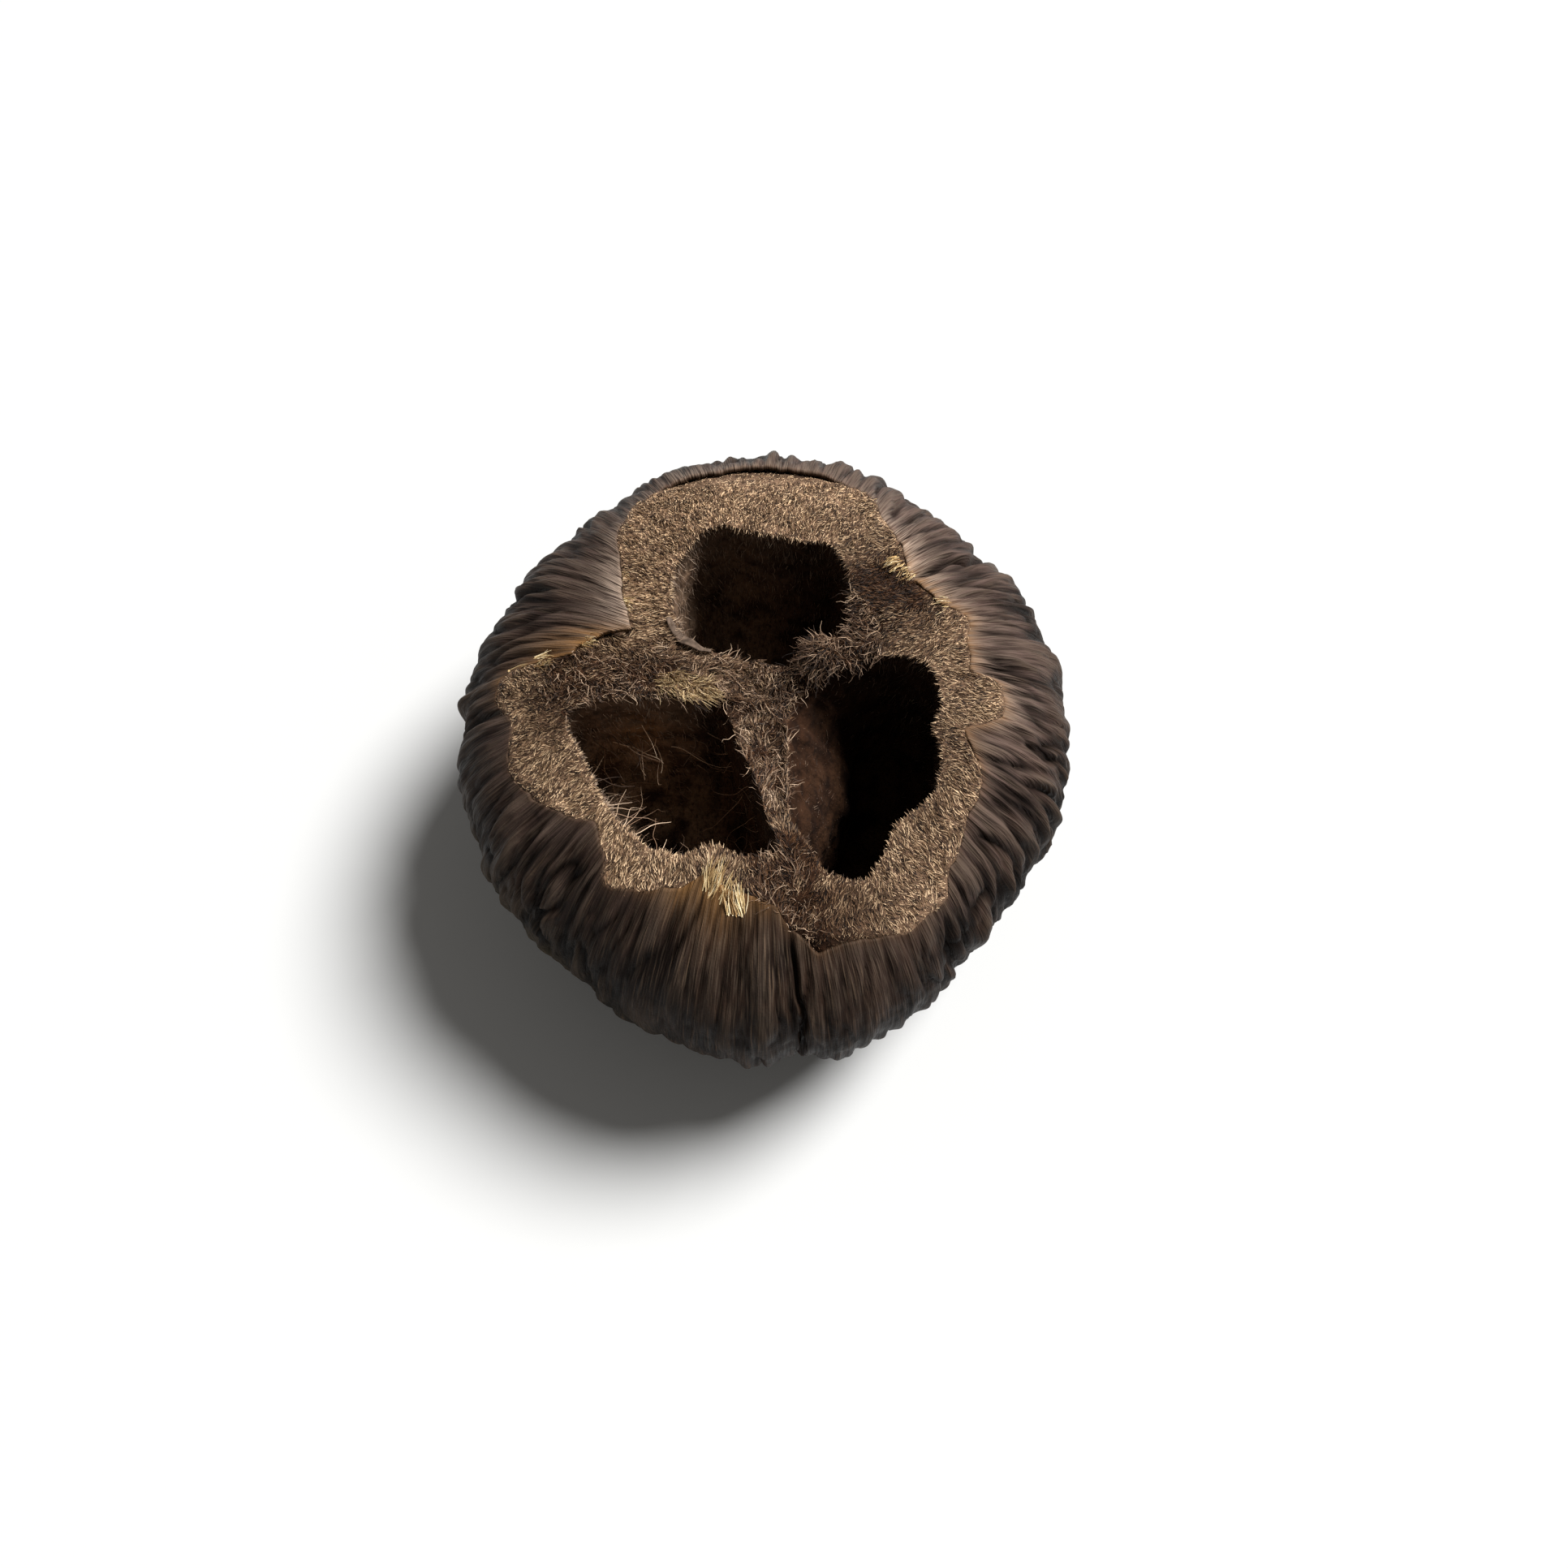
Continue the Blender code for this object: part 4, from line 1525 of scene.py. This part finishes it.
    def grow(self, ground: Surface, growth: Growth, finish: bpy.types.Material) -> bpy.types.Object:
        """Grows fibres over a surface and turns them into a plain mesh.

        Args:
            ground: The surface, with values cover, lie and reach.
            growth: Sizes and seed.
            finish: The fibres' material.

        Returns:
            The fibres' object.
        """
        carrier = ground.to_object(growth.name + "_ground", None)
        modifier = carrier.modifiers.new("fibres", "NODES")
        modifier.node_group = self.tree
        wanted = {
            "Density": growth.density, "Length": growth.length, "Thickness": growth.thickness,
            "Lift": growth.lift, "Spread": growth.spread, "Curl": growth.curl,
            "Kink": growth.kink, "Joints": growth.joints,
            "Seed": int(growth.seed), "Finish": finish,
        }
        for socket in self.tree.interface.items_tree:
            if socket.in_out == "INPUT" and socket.name in wanted:
                modifier[socket.identifier] = wanted[socket.name]
        graph = bpy.context.evaluated_depsgraph_get()
        mesh = bpy.data.meshes.new_from_object(carrier.evaluated_get(graph))
        bpy.data.objects.remove(carrier, do_unlink=True)
        mesh.name = growth.name
        for label in ground.values:
            if label != "redness_and_shade" and label in mesh.attributes:
                mesh.attributes.remove(mesh.attributes[label])
        mesh.shade_smooth()
        item = bpy.data.objects.new(growth.name, mesh)
        bpy.context.scene.collection.objects.link(item)
        return item


@dataclass
class Coat:
    """All the fibres on the flesh: nap, tangles and felt."""

    tree: FibreTree
    nap: FibreFinish = FibreFinish(
        "torn nap", (0.022, 0.011, 0.006), (0.235, 0.140, 0.074), (0.86, 0.62, 0.385))
    tangle: FibreFinish = FibreFinish(
        "ridge strands", (0.034, 0.018, 0.010), (0.235, 0.138, 0.082), (0.84, 0.62, 0.43))
    padding: FibreFinish = FibreFinish(
        "pale pad", (0.16, 0.095, 0.042), (0.46, 0.32, 0.16), (0.78, 0.60, 0.35))
    felt: FibreFinish = FibreFinish(
        "chamber felt", (0.10, 0.062, 0.040), (0.26, 0.175, 0.120), (0.46, 0.34, 0.24))

    def build(self, flesh: Surface) -> list[bpy.types.Object]:
        """Grows every kind of fibre on the flesh.

        Args:
            flesh: The flesh with its values.

        Returns:
            The fibres' objects.
        """
        inside, hidden, ward = (flesh.on_faces(name) for name in ("inside", "hidden", "ward"))
        loose, cover = flesh.on_faces("loose"), flesh.on_faces("cover")
        face = (hidden == 0) & (inside < 0.01) & (cover > 0.01)
        nap, felt, tangle = self.nap.material(), self.felt.material(), self.tangle.material()
        grown = []
        for chamber in Chamber:
            number = chamber.ward
            chosen = face & (np.round(ward) == number)
            grown.append(self.one(flesh, chosen, nap, Growth(
                f"nap_{chamber.value}", density=12.5e6, length=1.05 * MM, thickness=0.078 * MM,
                lift=0.6, spread=0.40, curl=0.4 * MM, kink=900.0, joints=3, trimmed=True,
                seed=Seed.NAP + number)))
            walls = (hidden == 0) & (inside >= 0.01) & (np.round(ward) == number)
            grown.append(self.one(flesh, walls, felt, Growth(
                f"felt_{chamber.value}", density=1.0e6, length=1.1 * MM, thickness=0.075 * MM,
                lift=0.25, spread=0.8, curl=1.0 * MM, kink=380.0, joints=4, seed=Seed.FELT + number)))
        grown.append(self.one(flesh, face & (loose > 0.4), tangle, Growth(
            "ridge_tangle", density=4.2e6, length=2.1 * MM, thickness=0.08 * MM,
            lift=0.55, spread=1.1, curl=3.4 * MM, kink=480.0, joints=6, redness_and_shade=0.6, seed=Seed.RIDGE)))
        grown.append(self.one(flesh, flesh.on_faces("pad") > 0.5, self.padding.material(), Growth(
            "felt_pad", density=16e6, length=1.9 * MM, thickness=0.08 * MM,
            lift=0.8, spread=0.45, curl=0.8 * MM, kink=500.0, joints=4, redness_and_shade=0.1, seed=Seed.PAD)))
        grown.append(self.one(flesh, flesh.on_faces("clump") > 0.5, tangle, Growth(
            "hub_clump", density=8e6, length=2.8 * MM, thickness=0.085 * MM,
            lift=0.6, spread=1.1, curl=4.8 * MM, kink=420.0, joints=8, redness_and_shade=0.9, seed=Seed.CLUMP)))
        sack = (hidden == 0) & (inside > 0.3) & (inside < 0.8)
        sack &= np.round(ward) == Chamber.LEFT.ward
        grown.append(self.one(flesh, sack, tangle, Growth(
            "chamber_hairs", density=0.10e6, length=8.0 * MM, thickness=0.10 * MM,
            lift=0.8, spread=0.9, curl=14 * MM, kink=130.0, joints=14, redness_and_shade=0.7, seed=Seed.HAIRS)))
        return grown

    def one(self, flesh: Surface, chosen: Array, finish: bpy.types.Material,
            growth: Growth) -> bpy.types.Object:
        """Grows one kind of fibre on the chosen faces of the flesh.

        Args:
            flesh: The flesh with its values.
            chosen: Whether each face grows it.
            finish: The fibres' material.
            growth: Sizes and seed.

        Returns:
            The fibres' object.
        """
        ground = flesh.patch(chosen)
        spread = Grain(growth.seed).at(ground.points / MM / 3.0)
        near = 0.6 + 0.4 * smoothstep(0.0, 3.0, ground.values["gap"])
        trimmed = near if growth.trimmed else 1.0
        ground.values["reach"] = np.clip(1 + 0.5 * spread, 0.4, 1.6) * trimmed
        ground.values["redness_and_shade"] = ground.values["redness_and_shade"] * growth.redness_and_shade
        return self.tree.grow(ground, growth, finish)


@dataclass(frozen=True)
class Tuft:
    """One pale bundle of long fibres at the torn skin edge."""

    azimuth: float  # degrees
    radius: float  # millimetres from the body's axis
    width: float  # millimetres
    length: float  # share of the fibres' full length
    swing: float = 0.0  # radians from straight inwards
    lift: float = 0.25
    sink: float = 1.1  # millimetres below the crown


@dataclass
class Tufts:
    """The straw-coloured bundles that stand out from under the skin's torn edge."""

    form: HuskForm
    tree: FibreTree
    straw: FibreFinish = FibreFinish(
        "straw", (0.34, 0.20, 0.08), (0.66, 0.48, 0.23), (0.90, 0.76, 0.50), 0.5)
    tufts: tuple[Tuft, ...] = (
        Tuft(254.5, 33.6, 2.6, 1.15, 0.1, 0.55, 0.6), Tuft(256.0, 34.6, 3.0, 1.0, 0.25, 0.3, 0.6),
        Tuft(262.3, 35.6, 3.0, 0.9, -0.2, 0.35, 0.5),
        Tuft(44.3, 31.4, 2.0, 0.95, 0, 0.4, 0.8), Tuft(39.6, 32.0, 2.0, 0.8, 0, 0.4, 0.8),
        Tuft(26.3, 34.0, 2.4, 0.9, 0, 0.4, 0.8),
        Tuft(18.9, 34.9, 2.0, 0.7), Tuft(61.6, 41.0, 2.0, 0.8, 0, 0.4, 0.8),
        Tuft(68.4, 41.6, 2.0, 0.75, 0, 0.4, 0.8),
        Tuft(169.5, 36.0, 2.2, 0.7, 0, 0.4, 0.7), Tuft(172.0, 40.2, 2.2, 0.7, 0, 0.3, 0.7),
        Tuft(163.0, 29.6, 1.8, 0.7, 0, 0.4, 0.7),
        Tuft(146.0, 26.8, 1.8, 0.6), Tuft(138.0, 30.5, 2.0, 0.55),
        Tuft(345.0, 33.5, 1.4, 0.5),
    )
    growth: Growth = Growth("straw_tufts", density=18e6, length=4.0 * MM, thickness=0.11 * MM,
                            lift=0.25, spread=0.22, curl=1.6 * MM, kink=260.0, joints=6, seed=Seed.STRAW)

    def ground(self) -> Surface:
        """Small patches where the bundles root.

        Returns:
            One quad for each tuft, with the values that the fibres read.
        """
        points, faces, lies, reach = [], [], [], []
        for tuft in self.tufts:
            angle = math.radians(tuft.azimuth)
            outward = np.array([math.cos(angle), math.sin(angle), 0.0])
            sideways = np.array([-outward[1], outward[0], 0.0])
            inward = -outward * math.cos(tuft.swing) + sideways * math.sin(tuft.swing)
            for across, back in ((-1, 0.7), (1, 0.7), (1, -0.5), (-1, -0.5)):
                place = outward * (tuft.radius + back) * MM + sideways * across * tuft.width / 2 * MM
                radius = np.hypot(place[0], place[1])
                place[2] = self.form.crown(radius, np.arctan2(place[1], place[0]))
                place[2] -= tuft.sink * MM
                points.append(place)
                lies.append(inward + [0, 0, tuft.lift])
                reach.append(tuft.length)
            first = len(points) - 4
            faces.append((first, first + 1, first + 2, first + 3))
        points = np.array(points) + self.form.axis()
        values = {"lie": np.array(lies), "reach": np.array(reach), "cover": np.ones(len(points)),
                  "redness_and_shade": np.full(len(points), 0.1)}
        return Surface(points, faces, values)

    def build(self) -> bpy.types.Object:
        """Makes the tufts' object."""
        return self.tree.grow(self.ground(), self.growth, self.straw.material())


@dataclass
class Ribbon:
    """The dark dry strip that curls along the back chamber's corner."""

    flesh: Flesh
    colour: Colour = (0.115, 0.080, 0.058)
    # the strip's middle line, as (x, y) in millimetres from the body's axis
    line: tuple[tuple[float, float], ...] = (
        (-14.6, 12.6), (-13.7, 10.9), (-12.5, 9.6), (-11.1, 8.8), (-9.7, 8.3), (-8.0, 8.2),
    )
    rise: float = 1.2 * MM
    width: float = 1.7 * MM
    thickness: float = 0.5 * MM
    steps: int = 36
    sides: int = 12
    smoothings: int = 6
    grain_scale: float = 900.0
    roughness: float = 0.85
    specular: float = 0.1

    def build(self) -> bpy.types.Object:
        """Sweeps a flat oval along the line.

        Returns:
            The object dry_strip.
        """
        line = np.array(self.line) * MM
        line = np.c_[line, self.flesh.height(line[:, 0], line[:, 1]) + self.rise]
        places = np.linspace(0, len(line) - 1, self.steps)
        path = np.stack([np.interp(places, range(len(line)), line[:, k]) for k in range(3)], axis=1)
        for _ in range(self.smoothings):
            path[1:-1] = (path[:-2] + 2 * path[1:-1] + path[2:]) / 4
        along = np.gradient(path, axis=0)
        along /= np.linalg.norm(along, axis=1, keepdims=True)
        across = np.cross(along, [0.25, 0.25, 1.0])
        across /= np.linalg.norm(across, axis=1, keepdims=True)
        over = np.cross(across, along)
        angle = np.linspace(0, 2 * np.pi, self.sides, endpoint=False)
        share = np.linspace(0, 1, self.steps)
        slim = (0.35 + 0.65 * np.sin(np.pi * np.clip(share * 1.15, 0, 1)) ** 0.6)[:, None, None]
        rings = path[:, None] + slim * (
            across[:, None] * (np.cos(angle) * self.width / 2)[None, :, None]
            + over[:, None] * (np.sin(angle) * self.thickness / 2)[None, :, None])
        rings += over[:, None] * (0.06 * MM * np.sin(3 * angle) * slim[..., 0])[..., None]
        points = np.vstack([rings.reshape(-1, 3), rings[0].mean(axis=0), rings[-1].mean(axis=0)])
        faces: list[tuple[int, ...]] = []
        for step in range(self.steps - 1):
            first = np.arange(self.sides) + step * self.sides
            faces += ring_faces(first, first + self.sides)
        faces += fan_faces(np.arange(self.sides), len(points) - 2)
        faces += fan_faces(np.arange(self.sides) + (self.steps - 1) * self.sides, len(points) - 1)
        material, nodes, shader = new_material("dry strip")
        place = nodes.add("ShaderNodeTexCoord").outputs["Object"]
        shade = nodes.ramp(nodes.noise(place, self.grain_scale, 4.0), 0.3, 0.7)
        dark = tuple(part * 0.4 for part in self.colour)
        nodes.tree.links.new(nodes.blend(shade, dark, self.colour), shader.inputs["Base Color"])
        shader.inputs["Roughness"].default_value = self.roughness
        shader.inputs["Specular IOR Level"].default_value = self.specular
        item = Surface(points + self.flesh.form.axis(), faces).to_object("dry_strip", material)
        point_outwards(item)
        return item


# ---------------------------------------------------------------- studio


@dataclass
class Studio:
    """Pale floor, soft light and the camera."""

    form: HuskForm
    floor_size: float = 16.0
    floor_colour: Colour = (0.42, 0.42, 0.415)
    floor_roughness: float = 0.8
    camera_offset: tuple[float, float, float] = (0.0, -0.1093, 0.3197)
    camera_aim: tuple[float, float, float] = (0.0031, -0.0052, 0.035)
    lens: float = 41.3
    sensor: float = 36.0
    nearest: float = 10 * MM
    key_strength: float = 8.0
    key_angle: float = 0.38
    key_direction: tuple[float, float, float] = (0.60, 0.32, 1.05)
    sky: Colour = (1.0, 0.975, 0.94)
    sky_strength: float = 0.24

    def build(self) -> None:
        """Makes the floor, the light and the camera."""
        bpy.ops.mesh.primitive_plane_add(size=self.floor_size)
        floor = bpy.context.object
        floor.name = "floor"
        material, _, shader = new_material("pale floor")
        shader.inputs["Base Color"].default_value = (*self.floor_colour, 1.0)
        shader.inputs["Roughness"].default_value = self.floor_roughness
        floor.data.materials.append(material)
        self.add_camera()
        self.add_key()
        world = bpy.data.worlds.new("soft sky")
        world.use_nodes = True
        background = world.node_tree.nodes["Background"]
        background.inputs["Color"].default_value = (*self.sky, 1.0)
        background.inputs["Strength"].default_value = self.sky_strength
        bpy.context.scene.world = world
        bpy.context.scene.view_settings.view_transform = "Standard"

    def add_camera(self) -> None:
        """Adds the camera, which looks steeply down on the husk."""
        lens = bpy.data.cameras.new("camera")
        lens.lens, lens.sensor_width, lens.clip_start = self.lens, self.sensor, self.nearest
        camera = bpy.data.objects.new("camera", lens)
        axis = Vector(self.form.axis())
        camera.location = axis + Vector(self.camera_offset)
        aim = axis + Vector(self.camera_aim) - camera.location
        camera.rotation_euler = aim.to_track_quat("-Z", "Y").to_euler()
        bpy.context.scene.collection.objects.link(camera)
        bpy.context.scene.camera = camera

    def add_key(self) -> None:
        """Adds the one wide, even light, from the back right."""
        lamp = bpy.data.lights.new("key", "SUN")
        lamp.energy, lamp.angle = self.key_strength, self.key_angle
        item = bpy.data.objects.new("key", lamp)
        item.location = Vector(self.key_direction)
        item.rotation_euler = (-item.location).to_track_quat("-Z", "Y").to_euler()
        bpy.context.scene.collection.objects.link(item)


# ---------------------------------------------------------------- husk


def settle(item: bpy.types.Object) -> None:
    """Fixes a piece to the husk's body.

    Args:
        item: The finished piece.
    """
    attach(item, ROOT_BODY)
    triangles = sum(len(face.vertices) - 2 for face in item.data.polygons)
    LOG.info("%s: %d triangles, %s mm", item.name, triangles,
             " x ".join(f"{side / MM:.1f}" for side in item.dimensions))


def build_husk() -> HuskForm:
    """Makes every piece of the husk and fixes it to the frame.

    Returns:
        The form that the pieces share, which the studio is set up around.
    """
    form = HuskForm()
    skin = Skin(form).build()
    settle(skin)
    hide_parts("husk")
    flesh = Flesh(form)
    ground = flesh.surface()
    body = ground.to_object("husk_flesh", flesh.finish.material())
    point_outwards(body)
    settle(body)
    tree = FibreTree()
    for item in Coat(tree).build(ground):
        settle(item)
    settle(Tufts(form, tree).build())
    settle(Ribbon(flesh).build())
    return form


def main() -> None:
    """Builds the husk and the studio."""
    logging.basicConfig(level=logging.INFO, format="%(name)s %(message)s")
    form = build_husk()
    Studio(form).build()
    bpy.context.view_layer.update()


if __name__ == "__main__":
    main()
